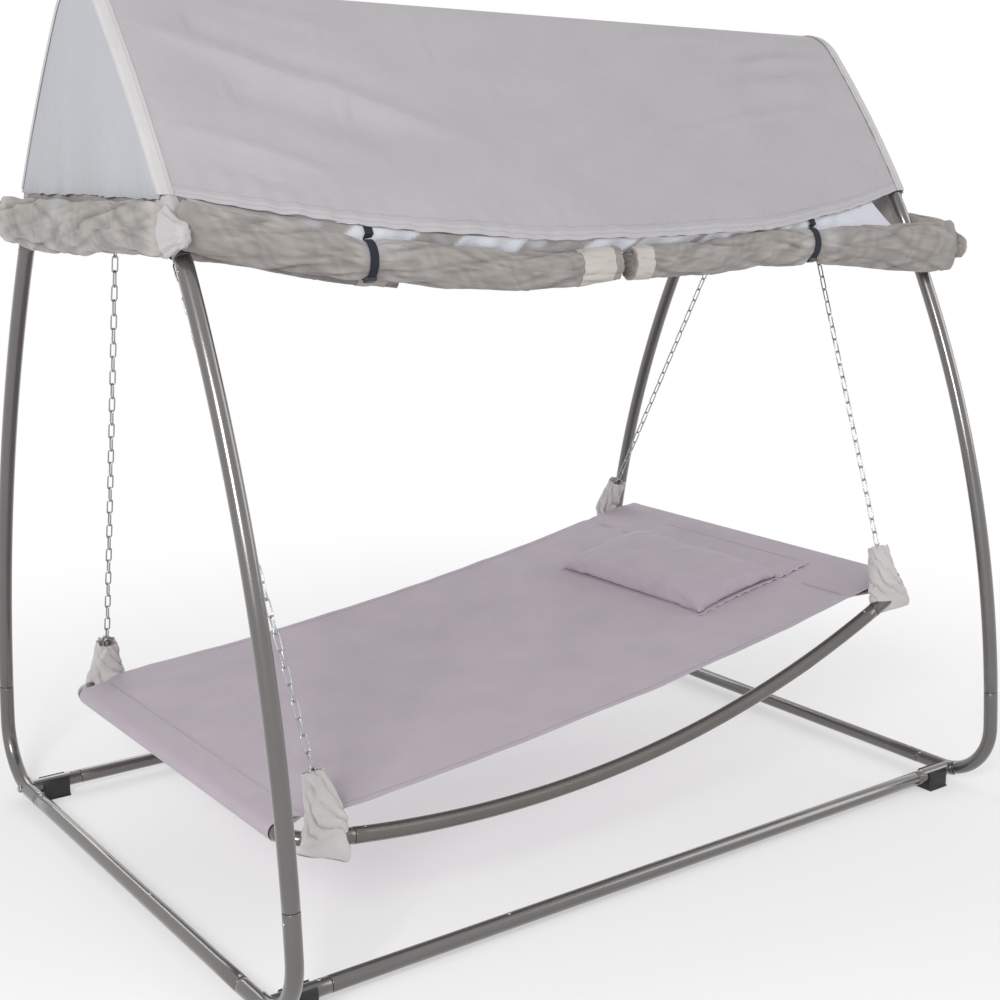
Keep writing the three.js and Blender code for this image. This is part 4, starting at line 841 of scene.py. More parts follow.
def tube(name, path, side, body, start="socket", end="socket"):
    """A round tube along a flat path, with a thin neck or an open bore at each end."""
    sizes = bpy.context.scene.hammock_sizes
    heading = unit(np.gradient(path, axis=0))
    angles = once_round(sizes.tube_facets)

    def ring(i, shift, radius):
        other = np.cross(heading[i], side)
        middle = path[i] + heading[i] * shift
        return middle + radius * (np.outer(np.cos(angles), side) + np.outer(np.sin(angles), other))

    rings = [ring(0, -shift, radius) for shift, radius in reversed(end_profile(start, sizes.joint_gap))]
    rings += [ring(i, 0.0, TUBE_R) for i in range(1, len(path) - 1)]
    rings += [ring(-1, shift, radius) for shift, radius in end_profile(end, sizes.joint_gap)]
    piece = loft(rings, name + "_steel", body + "_steel", sharp=38.0)
    settle(piece, body, body + "_tube", name)


def turned(middle, axis, profile, sides, sharp=35.0):
    """A zinc solid from rings of (shift along the axis, radius) round one axis."""
    axis = unit(axis)
    first = unit(np.cross(axis, X if abs(axis[0]) < 0.9 else Y))
    second = np.cross(axis, first)
    angles = once_round(sides) + math.pi / sides
    spread = np.outer(np.cos(angles), first) + np.outer(np.sin(angles), second)
    rings = [np.asarray(middle) + axis * shift + radius * spread for shift, radius in profile]
    return loft(rings, "turned", "zinc", sharp)


def ring_path(middle, radius, u, v, steps):
    angles = once_round(steps)
    return np.asarray(middle) + radius * (np.outer(np.cos(angles), u) + np.outer(np.sin(angles), v))


def leg_line(start, end, steps):
    """Part of a leg's arc in the end frame's drawing."""
    return arc((LEG_CENTRE_Y, LEG_UPRIGHT_Z), LEG_RADIUS, start, end, steps)


class HAMMOCK_OT_stand(bpy.types.Operator):
    """Floor tubes, elbows, legs, gable arches, floor rails and ridge tube"""

    bl_idname = "hammock.stand"
    bl_label = "Stand tubes"

    def execute(self, context):
        pins = []
        leg_seat = 2 * SEAT_GAP / LEG_RADIUS
        elbow = np.vstack((
            [(FLOOR_TUBE_HALF + SEAT_GAP, FLOOR_Z), (FLOOR_TUBE_HALF + 0.012, FLOOR_Z),
             (FLOOR_BEND_Y - 0.002, FLOOR_Z)],
            arc((FLOOR_BEND_Y, FLOOR_BEND_Z), FLOOR_BEND_R, -math.pi / 2, LEG_START, 18),
            leg_line(LEG_START, LEG_FOOT, 6)[1:]))
        leg = leg_line(LEG_FOOT + leg_seat, LEG_HEAD, 40)
        rise = leg_line(LEG_HEAD + leg_seat, LEG_END, 8)
        arch = np.vstack((rise, arc((0, APEX_BEND_Z), APEX_BEND_R, LEG_END, math.pi - LEG_END, 26)[1:],
                          rise[-2::-1] * (-1, 1)))
        floor_line = straight(FLOOR_TUBE_HALF, FLOOR_Z, 12)
        for sign_x, end in ENDS:
            origin = X * sign_x * END_X
            tube(f"{end}_floor_tube", in_space(floor_line, origin, Y, Z), X, "stand")
            tube(f"{end}_gable_arch", in_space(arch, origin, Y, Z), X, "stand", "spigot", "spigot")
            for sign_y, side in SIDES:
                outward = Y * sign_y
                tube(f"{end}_{side}_elbow", in_space(elbow, origin, outward, Z), X, "stand", "spigot")
                tube(f"{end}_{side}_leg", in_space(leg, origin, outward, Z), X, "stand", "spigot")
                for height in (LEG_FOOT_Z - 0.022, LEG_HEAD_Z - 0.024):
                    y = LEG_CENTRE_Y + math.sqrt(LEG_RADIUS ** 2 - (height - LEG_UPRIGHT_Z) ** 2)
                    pins.append(((sign_x * (END_X + PIN_OUT), sign_y * y, height), X * sign_x))
                pins.append(((sign_x * END_X, sign_y * 0.582, FLOOR_Z + PIN_OUT), Z))
                pins.append(((sign_x * 0.975, sign_y * RAIL_Y, FLOOR_Z + PIN_OUT), Z))
        for x, y in ((-END_X, -0.128), (END_X, -0.549), (-0.479, -RAIL_Y)):
            pins.append(((x, y, FLOOR_Z + PIN_OUT), Z))
        rail = straight(RAIL_HALF - SEAT_GAP, FLOOR_Z, 12)
        for sign_y, side in SIDES:
            path = in_space(rail, Y * sign_y * RAIL_Y, X, Z)
            tube(f"{side}_floor_rail", path, Y, "stand", "spigot", "spigot")
        ridge = straight(END_X - TUBE_R - SEAT_GAP, RIDGE_Z, 14)
        tube("ridge_tube", in_space(ridge, np.zeros(3), X, Z), Y, "stand")
        push_pins("stand_push_pins", pins, "stand")
        return {"FINISHED"}


# Rail connectors and feet


def elbow_distance(y, z):
    """Distance of a place in the end frame's plane from the elbow's centre line."""
    if y < FLOOR_BEND_Y:
        return abs(z - FLOOR_Z)
    return abs(math.hypot(y - FLOOR_BEND_Y, z - FLOOR_BEND_Z) - FLOOR_BEND_R)


def saddle(sign_x, sign_y, name):
    """Coped stub with a curved plate that hugs the elbow, and its socket for the rail."""
    angles = once_round(40)
    cos, sin = np.cos(angles), np.sin(angles)
    mouth = RAIL_HALF + bpy.context.scene.hammock_sizes.joint_gap / 2
    profile = ((0.99, BORE_R), (mouth, BORE_R), (mouth, TUBE_R - 0.0011), (mouth + 0.0008, TUBE_R - 0.0004),
               (mouth + 0.0016, TUBE_R), (1.0, TUBE_R), (1.06, TUBE_R))
    rings = [np.column_stack((np.full(40, x), RAIL_Y + r * cos, FLOOR_Z + r * sin)) for x, r in profile]
    ys, zs = RAIL_Y + TUBE_R * cos, FLOOR_Z + TUBE_R * sin
    cope = TUBE_R + SEAT_GAP
    ends = [END_X - math.sqrt(max(0.0, cope ** 2 - elbow_distance(y, z) ** 2)) for y, z in zip(ys, zs)]
    rings.append(np.column_stack((ends, ys, zs)))
    stub = loft(np.array(rings) * (sign_x, sign_y, 1), "stub", "stand_steel")

    middle, reach = math.asin(RAIL_PAST_BEND / FLOOR_BEND_R), PLATE_HALF / FLOOR_BEND_R
    radius = TUBE_R + 0.0019
    rows = []
    for side_angle in np.linspace(math.radians(112), math.radians(248), 15):
        flat = FLOOR_BEND_R - radius * math.sin(side_angle)
        turns = np.linspace(middle - reach, middle + reach, 17)
        rows.append(np.column_stack((np.full(17, END_X + radius * math.cos(side_angle)),
                                     FLOOR_BEND_Y + flat * np.sin(turns),
                                     FLOOR_BEND_Z - flat * np.cos(turns))))
    spots = surface(np.linspace(0, 2 * PLATE_HALF, 17), np.linspace(0, 0.05, 15))
    rows = np.array(rows) * (sign_x, sign_y, 1)
    plate = cloth(rows, spots, 0.003, "plate", "stand_steel", sharp=50.0)
    bevel = plate.modifiers.new("round", "BEVEL")
    bevel.width = 0.0009
    bevel.segments = 2
    bevel.limit_method = "ANGLE"
    baked = bpy.data.meshes.new_from_object(plate.evaluated_get(bpy.context.evaluated_depsgraph_get()))
    plate.modifiers.clear()
    plate.data = baked
    return joined(name, [stub, plate])


def hex_bolt(base, axis, shank, name):
    """Bolt with a washer and a chamfered six-sided head, its seat at the base."""
    washer = turned(base, axis, ((0, 0.0105), (0.0011, 0.0105), (0.0015, 0.0101)), 28)
    profile = ((0.0015, 0.0079), (0.0017, 0.0082), (0.0060, 0.0082), (0.0071, 0.0070))
    head = turned(base, axis, profile, 6, sharp=20.0)
    rod = turned(base, axis, ((-shank, 0.0034), (-shank + 0.001, 0.004), (0.0002, 0.004)), 16)
    return joined(name, [washer, head, rod])


def clip_foot(sign_x, sign_y, name):
    """Black clip pressed round the stub, with a block under it."""
    inner, half, quarter = TUBE_R + SEAT_GAP, CLIP_LENGTH / 2, math.pi / 2
    outer = inner + CLIP_WALL
    block = outer + 0.0035
    outline = np.vstack((
        arc((0, FLOOR_Z), outer, 0, quarter - CLIP_MOUTH, 8),
        arc((0, FLOOR_Z), inner, quarter - CLIP_MOUTH, -3 * quarter + CLIP_MOUTH, 40),
        arc((0, FLOOR_Z), outer, quarter + CLIP_MOUTH, math.pi, 8),
        [(-outer, 0.006), (-block, 0.003), (-block, 0.0), (block, 0.0), (block, 0.003), (outer, 0.006)]))
    tangent = unit(np.roll(outline, -1, axis=0) - np.roll(outline, 1, axis=0))
    inward = np.column_stack((-tangent[:, 1], tangent[:, 0]))
    rings = []
    for x, inset in ((-half, 0.0010), (-half + 0.0004, 0.0003), (-half + 0.0012, 0), (half - 0.0012, 0),
                     (half - 0.0004, 0.0003), (half, 0.0010)):
        y, z = (outline + inward * inset).T
        rings.append(np.column_stack((np.full(len(y), sign_x * CLIP_X + x), sign_y * RAIL_Y + y,
                                      np.maximum(z, 0.0))))
    count = len(outline)
    skin = Skin()
    start = skin.grid(np.array(rings), wrap=True)
    skin.face(range(start, start + count), turned=True)
    last = start + (len(rings) - 1) * count
    skin.face(range(last, last + count))
    return skin.build(name, finish_of("foot_plastic"), sharp=35.0)


class HAMMOCK_OT_connectors(bpy.types.Operator):
    """Rail saddles, rail bolts and clip feet"""

    bl_idname = "hammock.connectors"
    bl_label = "Rail connectors and feet"

    def execute(self, context):
        for sign_x, sign_y, key in CORNERS:
            piece = saddle(sign_x, sign_y, key + "_rail_saddle_steel")
            settle(piece, "stand", "stand_tube", key + "_rail_saddle")
            base = (sign_x * (END_X + TUBE_R), sign_y * RAIL_Y, RAIL_BOLT_Z)
            piece = hex_bolt(base, X * sign_x, 0.066, key + "_rail_bolt_hex")
            settle(piece, "stand", "zinc", key + "_rail_bolt")
            piece = clip_foot(sign_x, sign_y, key + "_foot_clip")
            settle(piece, "stand", "black_plastic", key + "_foot")
        return {"FINISHED"}


# Hangers and chains


class HAMMOCK_OT_hangers(bpy.types.Operator):
    """Eye bolts in the ridge tube and the snap hooks on them"""

    bl_idname = "hammock.hangers"
    bl_label = "Hanger eyes and snap hooks"

    def execute(self, context):
        top_r = EYE_WIRE_R + SEAT_GAP + HOOK_WIRE_R
        corner_z = -HOOK_LENGTH + HOOK_CORNER_R
        lean = math.atan2(corner_z, HOOK_BAR_HALF) + math.acos(
            (top_r - HOOK_CORNER_R) / math.hypot(HOOK_BAR_HALF, corner_z))
        hook = np.vstack((arc((0, 0), top_r, lean, math.pi - lean, 20),
                          arc((-HOOK_BAR_HALF, corner_z), HOOK_CORNER_R, math.pi - lean, 1.5 * math.pi, 10),
                          arc((HOOK_BAR_HALF, corner_z), HOOK_CORNER_R, -math.pi / 2, lean, 10)))
        for sign_x, end in ENDS:
            at = X * sign_x * HANGER_X
            ring = closed_wire(ring_path(at + Z * EYE_RING_Z, EYE_RING_R, X, Z, 40), Y, EYE_WIRE_R, 16)
            profile = ((0, 0.0088), (0.0006, 0.0094), (0.0032, 0.0094), (0.0040, 0.0080))
            collar = turned(at + Z * (RIDGE_Z - TUBE_R - SEAT_GAP), -Z, profile, 24)
            top = 2 * TUBE_R + 0.0035
            profile = ((0, 0.005), (top - 0.001, 0.005), (top, 0.0042))
            shank = turned(at + Z * (RIDGE_Z - TUBE_R - 0.004), Z, profile, 16)
            piece = joined(f"{end}_hanger_eye_bolt", [ring, collar, shank])
            settle(piece, "stand", "zinc", f"{end}_hanger_eye")
            origin = at + Z * SWING_Z
            body = closed_wire(in_space(hook, origin, Y, Z), X, HOOK_WIRE_R, 14)
            low = origin + Y * 0.0205 + Z * (corner_z + 0.010)
            heading = origin + Y * 0.0118 + Z * -0.030 - low
            reach = float(np.linalg.norm(heading))
            profile = ((0, 0.0042), (0.001, 0.0051), (reach - 0.001, 0.0051), (reach, 0.0042))
            gate = turned(low, heading, profile, 14)
            profile = ((0, 0.0016), (0.0006, 0.0022), (0.0118, 0.0022), (0.0124, 0.0016))
            pin = turned(low + unit(heading) * 0.004 - X * 0.0062, X, profile, 12)
            piece = joined(f"{end}_snap_hook_wire", [body, gate, pin])
            settle(piece, "hooks", "zinc", f"{end}_snap_hook")
        return {"FINISHED"}


def bed_end(sign_x):
    """Middle of an end bar, and the directions inboard, up from the bed, along its arms and off them."""
    tilt = BED_PITCH if sign_x < 0 else -BED_PITCH
    inboard = np.array((-sign_x * math.cos(tilt), 0.0, math.sin(tilt)))
    up = np.array((sign_x * math.sin(tilt), 0.0, math.cos(tilt)))
    origin = np.array((sign_x * BAR_X, 0.0, BAR_Z[sign_x]))
    arm = inboard * math.cos(BOW_SLOPE) - up * math.sin(BOW_SLOPE)
    arm_up = up * math.cos(BOW_SLOPE) + inboard * math.sin(BOW_SLOPE)
    return origin, inboard, up, arm, arm_up


def corner_frame(sign_x, sign_y):
    """Seat of a corner eye on its bar's arm, and the directions along and off the arm."""
    origin, _, _, arm, arm_up = bed_end(sign_x)
    return origin + arm * CORNER_EYE_INSET + Y * sign_y * BOW_Y, arm, arm_up


def chain_line(sign_x, sign_y):
    """A chain's top and bottom, and the directions down it and across it."""
    seat, _, arm_up = corner_frame(sign_x, sign_y)
    top = np.array((sign_x * HANGER_X, sign_y * CHAIN_SPACING / 2, HOOK_BAR_Z))
    bottom = seat + arm_up * CORNER_WIRE_UP
    down = unit(bottom - top)
    across = unit(X - down * down[0])
    return top, bottom, down, across


class HAMMOCK_OT_chains(bpy.types.Operator):
    """Four chains from the hooks to the bed's corners"""

    bl_idname = "hammock.chains"
    bl_label = "Chains"

    def execute(self, context):
        sizes = context.scene.hammock_sizes
        for sign_x, end in ENDS:
            gaps = CHAIN_GAPS[sign_x]
            for sign_y, side in SIDES:
                name = f"{end}_{side}_chain"
                top, bottom, down, across = chain_line(sign_x, sign_y)
                run = np.linalg.norm(bottom - top) - FIRST_LINK_BELOW_HOOK - LAST_LINK_ABOVE_EYE
                spot = bpy.data.meshes.new(name)
                spot.from_pydata([(0.0, 0.0, 0.0)], [], [])
                piece = grown(name + "_links", chain_tree, spot, "zinc", links=gaps + 1,
                              pitch=float(run / gaps), width=sizes.link_width, wire_radius=sizes.link_wire)
                turn = np.column_stack((np.cross(across, -down), across, -down))
                places = points_of(piece.data) @ turn.T + top + down * FIRST_LINK_BELOW_HOOK
                piece.data.vertices.foreach_set("co", places.ravel())
                piece.data.update()
                settle(piece, f"{end}_chains", "zinc", name)
        return {"FINISHED"}


# Bed frame


class HAMMOCK_OT_bed_frame(bpy.types.Operator):
    """End bars, bow tubes and the corner eye bolts"""

    bl_idname = "hammock.bed_frame"
    bl_label = "Bed frame"

    def execute(self, context):
        pins = []
        inner, quarter = BOW_Y - BAR_CORNER_R, math.pi / 2
        bar = np.vstack((
            [(BAR_ARM, -BOW_Y), (BAR_ARM - 0.012, -BOW_Y)],
            arc((BAR_CORNER_R, -inner), BAR_CORNER_R, -quarter, -2 * quarter, 14),
            [(0, -0.2), (0, 0.2)],
            arc((BAR_CORNER_R, inner), BAR_CORNER_R, 2 * quarter, quarter, 14),
            [(BAR_ARM - 0.012, BOW_Y), (BAR_ARM, BOW_Y)]))
        for sign_x, end in ENDS:
            origin, _, _, arm, arm_up = bed_end(sign_x)
            tube(f"{end}_end_bar", in_space(bar, origin, arm, Y), arm_up, "bed", "spigot", "spigot")
            for sign_y, side in SIDES:
                self.corner_eye(sign_x, sign_y, f"{end}_{side}_corner_eye")
                place = origin + arm * (BAR_ARM + 0.030) + Y * sign_y * BOW_Y + arm_up * (TUBE_R - 0.001)
                pins.append((place, arm_up))
        origin, inboard, up, _, _ = bed_end(-1)
        start_along = (BAR_ARM + SEAT_GAP) * math.cos(BOW_SLOPE)
        start_down = (BAR_ARM + SEAT_GAP) * math.sin(BOW_SLOPE)
        radius = (BED_LENGTH - 2 * start_along) / (2 * math.sin(BOW_SLOPE))
        centre = (BED_LENGTH / 2, radius * math.cos(BOW_SLOPE) - start_down)
        bow = arc(centre, radius, -quarter - BOW_SLOPE, -quarter + BOW_SLOPE, 60)
        for sign_y, side in SIDES:
            tube(f"{side}_bow_tube", in_space(bow, origin + Y * sign_y * BOW_Y, inboard, up), Y, "bed")
        push_pins("bed_push_pins", pins, "bed")
        return {"FINISHED"}

    def corner_eye(self, sign_x, sign_y, name):
        """Eye bolt down through the bar's arm, with its nut."""
        seat, arm, up = corner_frame(sign_x, sign_y)
        ring = closed_wire(ring_path(seat + up * CORNER_RING_UP, CORNER_EYE_RING_R, Y, up, 32), arm,
                           CORNER_EYE_WIRE_R, 14)
        profile = ((0, 0.0078), (0.0005, 0.0082), (0.0020, 0.0082), (0.0025, 0.0072))
        collar = turned(seat + up * (TUBE_R + 0.0001), up, profile, 24)
        profile = ((0, 0.0030), (0.001, 0.0035), (2 * TUBE_R + 0.016, 0.0035))
        shank = turned(seat - up * (TUBE_R + 0.010), up, profile, 14)
        profile = ((0, 0.0070), (0.0002, 0.0076), (0.0056, 0.0076), (0.0064, 0.0066))
        nut = turned(seat - up * TUBE_R, -up, profile, 6, sharp=20.0)
        settle(joined(name + "_bolt", [ring, collar, shank, nut]), "bed", "zinc", name)


# Corner covers: height along the chain, half length along the tube, half width across it
COVER_SECTIONS = np.array((
    (COVER_LOW, 0.058, 0.0130), (-0.037, 0.062, 0.0190), (-0.020, 0.064, 0.0255), (0.010, 0.059, 0.0270),
    (0.040, 0.051, 0.0265), (0.070, 0.042, 0.0250), (0.110, 0.033, 0.0250), (COVER_TOP, 0.0265, 0.0245)))


def corner_cover(sign_x, sign_y, name, seed):
    """Slack fabric sock round the corner eye, open and frayed at its top, slanted at its lower edge."""
    seat, arm, arm_up = corner_frame(sign_x, sign_y)
    _, bottom, down, _ = chain_line(sign_x, sign_y)
    up = -down
    along = unit(arm - up * np.dot(arm, up))
    across = np.cross(up, along)
    columns, girth, corner_power = 96, 0.17, 0.8
    at, lengths, widths = COVER_SECTIONS.T
    slope = 0.030 if sign_x < 0 else 0.008
    heights = np.linspace(COVER_LOW, COVER_TOP, 56)
    angles = once_round(columns)
    cos, sin = np.cos(angles), np.sin(angles)
    rows = []
    for height in heights:
        half_length, half_width = np.interp(height, at, lengths), np.interp(height, at, widths)
        axis = seat + arm_up * height if height < CORNER_WIRE_UP else bottom + up * (height - CORNER_WIRE_UP)
        slant = angles * 3 + height * 62 + 1.6 * ripple(angles * 2, height * 30 + angles * 0, 1.3, seed)
        crease = -0.0125 * (1 - np.abs(np.sin(slant))) ** 2.0
        crease += 0.0042 * ripple(cos * 0.05 + 1, sin * 0.05 + height, 0.022, seed + 1)
        crease += 0.0016 * np.sin(angles * 7 + height * 120) * smooth((height - 0.05) / 0.08)
        crease *= (0.25 + 0.75 * smooth((height + 0.02) / 0.06)) * (1 - 0.45 * smooth((height - 0.04) / 0.06))
        x = (half_length + crease) * np.sign(cos) * np.abs(cos) ** corner_power
        y = (half_width + crease * 0.8) * np.sign(sin) * np.abs(sin) ** corner_power
        fray = 0.004 * ripple(angles * 3, angles * 0 + seed, 0.7, seed + 2) * smooth((height - 0.12) / 0.03)
        fray -= slope * cos * smooth((0.01 - height) / 0.04)
        rows.append(axis + np.outer(x, along) + np.outer(y, across) + np.outer(fray, up))
    spots = surface(np.linspace(0, girth, columns + 1), heights)
    return cloth(np.array(rows), spots, 0.0012, name, "cover_cloth", wrap=True)


class HAMMOCK_OT_covers(bpy.types.Operator):
    """Slack fabric covers over the four corner eyes"""

    bl_idname = "hammock.covers"
    bl_label = "Corner covers"

    def execute(self, context):
        seed = 11
        for sign_x, sign_y, key in CORNERS:
            seed += 7
            piece = corner_cover(sign_x, sign_y, key + "_corner_cover_cloth", seed)
            settle(piece, "bed", "cover_cloth", key + "_corner_cover")
        return {"FINISHED"}


# Bed cloth and pillow


def cloth_drop(along, y):
    free = np.clip((along - 2 * TUBE_R) / (BED_LENGTH - 4 * TUBE_R), 0, 1)
    return -4 * free * (1 - free) * (CLOTH_SAG + CLOTH_DISH * (1 - (y / CLOTH_HALF_WIDTH) ** 2))


def cloth_half_width(along):
    """Half the bed cloth's width, drawn in at the foot sleeve and less at the head sleeve."""
    near_end = np.minimum(along, BED_LENGTH - along)
    narrow = SLEEVE_HALF_WIDTH + np.where(along < BED_LENGTH / 2, -0.014, 0.016)
    return narrow + (CLOTH_HALF_WIDTH - narrow) * smooth((near_end - 0.02) / 0.11)


def cloth_waves(along, y):
    return 0.0026 * ripple(along, y, 0.21, 3) + 0.0011 * ripple(along, y, 0.07, 4)


def on_bed(along, y, height):
    """Place above the bars' centre line, with the cloth's sag added."""
    origin, inboard, up, _, _ = bed_end(-1)
    lift = height + cloth_drop(along, y)
    return origin + along[..., None] * inboard + lift[..., None] * up + y[..., None] * Y


def sleeve(seam):
    """Cloth's line from a seam under and round the bar at zero to the bar's top."""
    back = np.array([(seam + 0.012, SLEEVE_R - 0.0017), (seam + 0.004, SLEEVE_R - 0.0017),
                     (seam - 0.006, SLEEVE_R - 0.0032)])
    wedge = math.atan2(2 * SLEEVE_R, seam)
    round_bar = arc((0, 0), SLEEVE_R, 1.5 * math.pi + wedge, math.pi / 2, 26)
    under = back[-1] + (round_bar[0] - back[-1]) * np.linspace(0.1, 0.95, 12)[:, None]
    return np.vstack((back, under, round_bar))


def bed_path():
    """Cloth's line in the side view, from the foot seam round both bars to the head seam."""
    head = sleeve(HEAD_SLEEVE)[::-1] * (-1, 1) + (BED_LENGTH, 0)
    top = np.column_stack((np.linspace(0.01, BED_LENGTH - 0.01, 260), np.full(260, SLEEVE_R)))
    return np.vstack((sleeve(FOOT_SLEEVE), top, head))


class HAMMOCK_OT_bed_cloth(bpy.types.Operator):
    """Bed cloth with a sleeve round each end bar"""

    bl_idname = "hammock.bed_cloth"
    bl_label = "Bed cloth"

    def execute(self, context):
        thickness = context.scene.hammock_sizes.cloth_thickness
        path = bed_path()
        share = np.linspace(-1, 1, 75)
        share = np.sign(share) * np.abs(share) ** 0.86
        half_widths = cloth_half_width(path[:, 0])
        along = np.repeat(path[:, :1], len(share), axis=1)
        y = share[None, :] * half_widths[:, None]
        from_end = np.minimum(along, BED_LENGTH - along)
        slack = 0.0030 * np.sin(y * 46 + 3 * ripple(along, y, 0.3, 5))
        slack = slack * np.exp(-np.abs(from_end - 0.20) / 0.11)
        height = path[:, 1:] + (cloth_waves(along, y) + slack) * smooth((from_end - 0.10) / 0.12)
        hem = smooth((np.abs(share)[None, :] - 0.965) / 0.01) * 0.0007
        on_top = path[:, 1] > SLEEVE_R - 0.0005
        for seam in (FOOT_SLEEVE, BED_LENGTH - HEAD_SLEEVE):
            groove = np.exp(-((path[:, 0] - seam) / 0.010) ** 2) * on_top
            hem = hem - 0.0032 * groove[:, None] * (1 + 0.25 * np.sin(y * 70))
        steps = travelled(path)
        spots = np.stack((y, np.repeat(steps[:, None], len(share), axis=1)), axis=-1)
        piece = cloth(on_bed(along, y, height + hem), spots, thickness, "bed_cloth_sheet", "bed_cloth")
        settle(piece, "bed", "bed_cloth", "bed_cloth")
        lines = []
        head_seam = BED_LENGTH - HEAD_SLEEVE
        for seam in (FOOT_SLEEVE, FOOT_SLEEVE + 0.006, head_seam, head_seam - 0.006):
            across = np.linspace(-0.985, 0.985, 90) * float(cloth_half_width(np.array(seam)))
            lines.append(on_bed(np.full(90, seam), across, np.full(90, SLEEVE_R + thickness / 2 - 0.0018)))
        where = np.linspace(0.16, BED_LENGTH - 0.22, 160)
        for sign_y, _ in SIDES:
            across = sign_y * (cloth_half_width(where) - 0.018)
            lift = SLEEVE_R + thickness / 2 + 0.0012 + cloth_waves(where, across)
            lines.append(on_bed(where, across, lift))
        stitches("bed_cloth_stitches", lines, "bed", "bed_cloth")
        return {"FINISHED"}


def pad_outline(share):
    """Half width of the pad at a share of its length, drawn in between its corners."""
    return PAD_WIDTH / 2 * (1 - 0.035 * np.sin(np.pi * share))


def pad_side(rows, columns, edge, crown):
    """Grid of one side of the pad, from its edge's height to its crown's."""
    share = np.linspace(0, 1, rows)[:, None]
    across = np.linspace(-1, 1, columns)[None, :]
    bow = 0.010 * (1 - across ** 2) * (1 - 2 * share)
    along = PAD_FRONT + (PAD_BACK - PAD_FRONT) * share + bow * smooth(np.abs(1 - 2 * share))
    full = np.sqrt(np.maximum(0, 1 - across ** 4)) * np.sqrt(np.maximum(0, 1 - (2 * share - 1) ** 4))
    return on_bed(along, across * pad_outline(share), SLEEVE_R + 0.0022 + edge + (crown - edge) * full)


def inflate(piece, pressure, cap):
    """Swells a closed pad by its filling pressure, on an even mesh, and returns its points."""
    even = piece.modifiers.new("even", "REMESH")
    even.mode = "VOXEL"
    even.voxel_size = 0.0055
    old = piece.data
    piece.data = bpy.data.meshes.new_from_object(piece.evaluated_get(bpy.context.evaluated_depsgraph_get()))
    piece.modifiers.clear()
    bpy.data.meshes.remove(old)
    start = points_of(piece.data)
    swell = piece.modifiers.new("swell", "CLOTH")
    swell.settings.quality = 4
    swell.settings.use_pressure = True
    swell.settings.uniform_pressure_force = pressure
    swell.settings.effector_weights.gravity = 0.0
    swell.settings.tension_stiffness = 12
    swell.settings.compression_stiffness = 12
    swell.settings.shear_stiffness = 6
    swell.settings.bending_stiffness = 0.5
    swell.collision_settings.use_collision = False
    scene = bpy.context.scene
    for number in range(1, 21):
        scene.frame_set(number)
    shown = piece.evaluated_get(bpy.context.evaluated_depsgraph_get())
    shift = points_of(shown.to_mesh()) - start
    shown.to_mesh_clear()
    piece.modifiers.clear()
    scene.frame_set(1)
    reach = np.linalg.norm(shift, axis=1, keepdims=True)
    return start + shift * np.minimum(1.0, cap / np.maximum(reach, 1e-9))


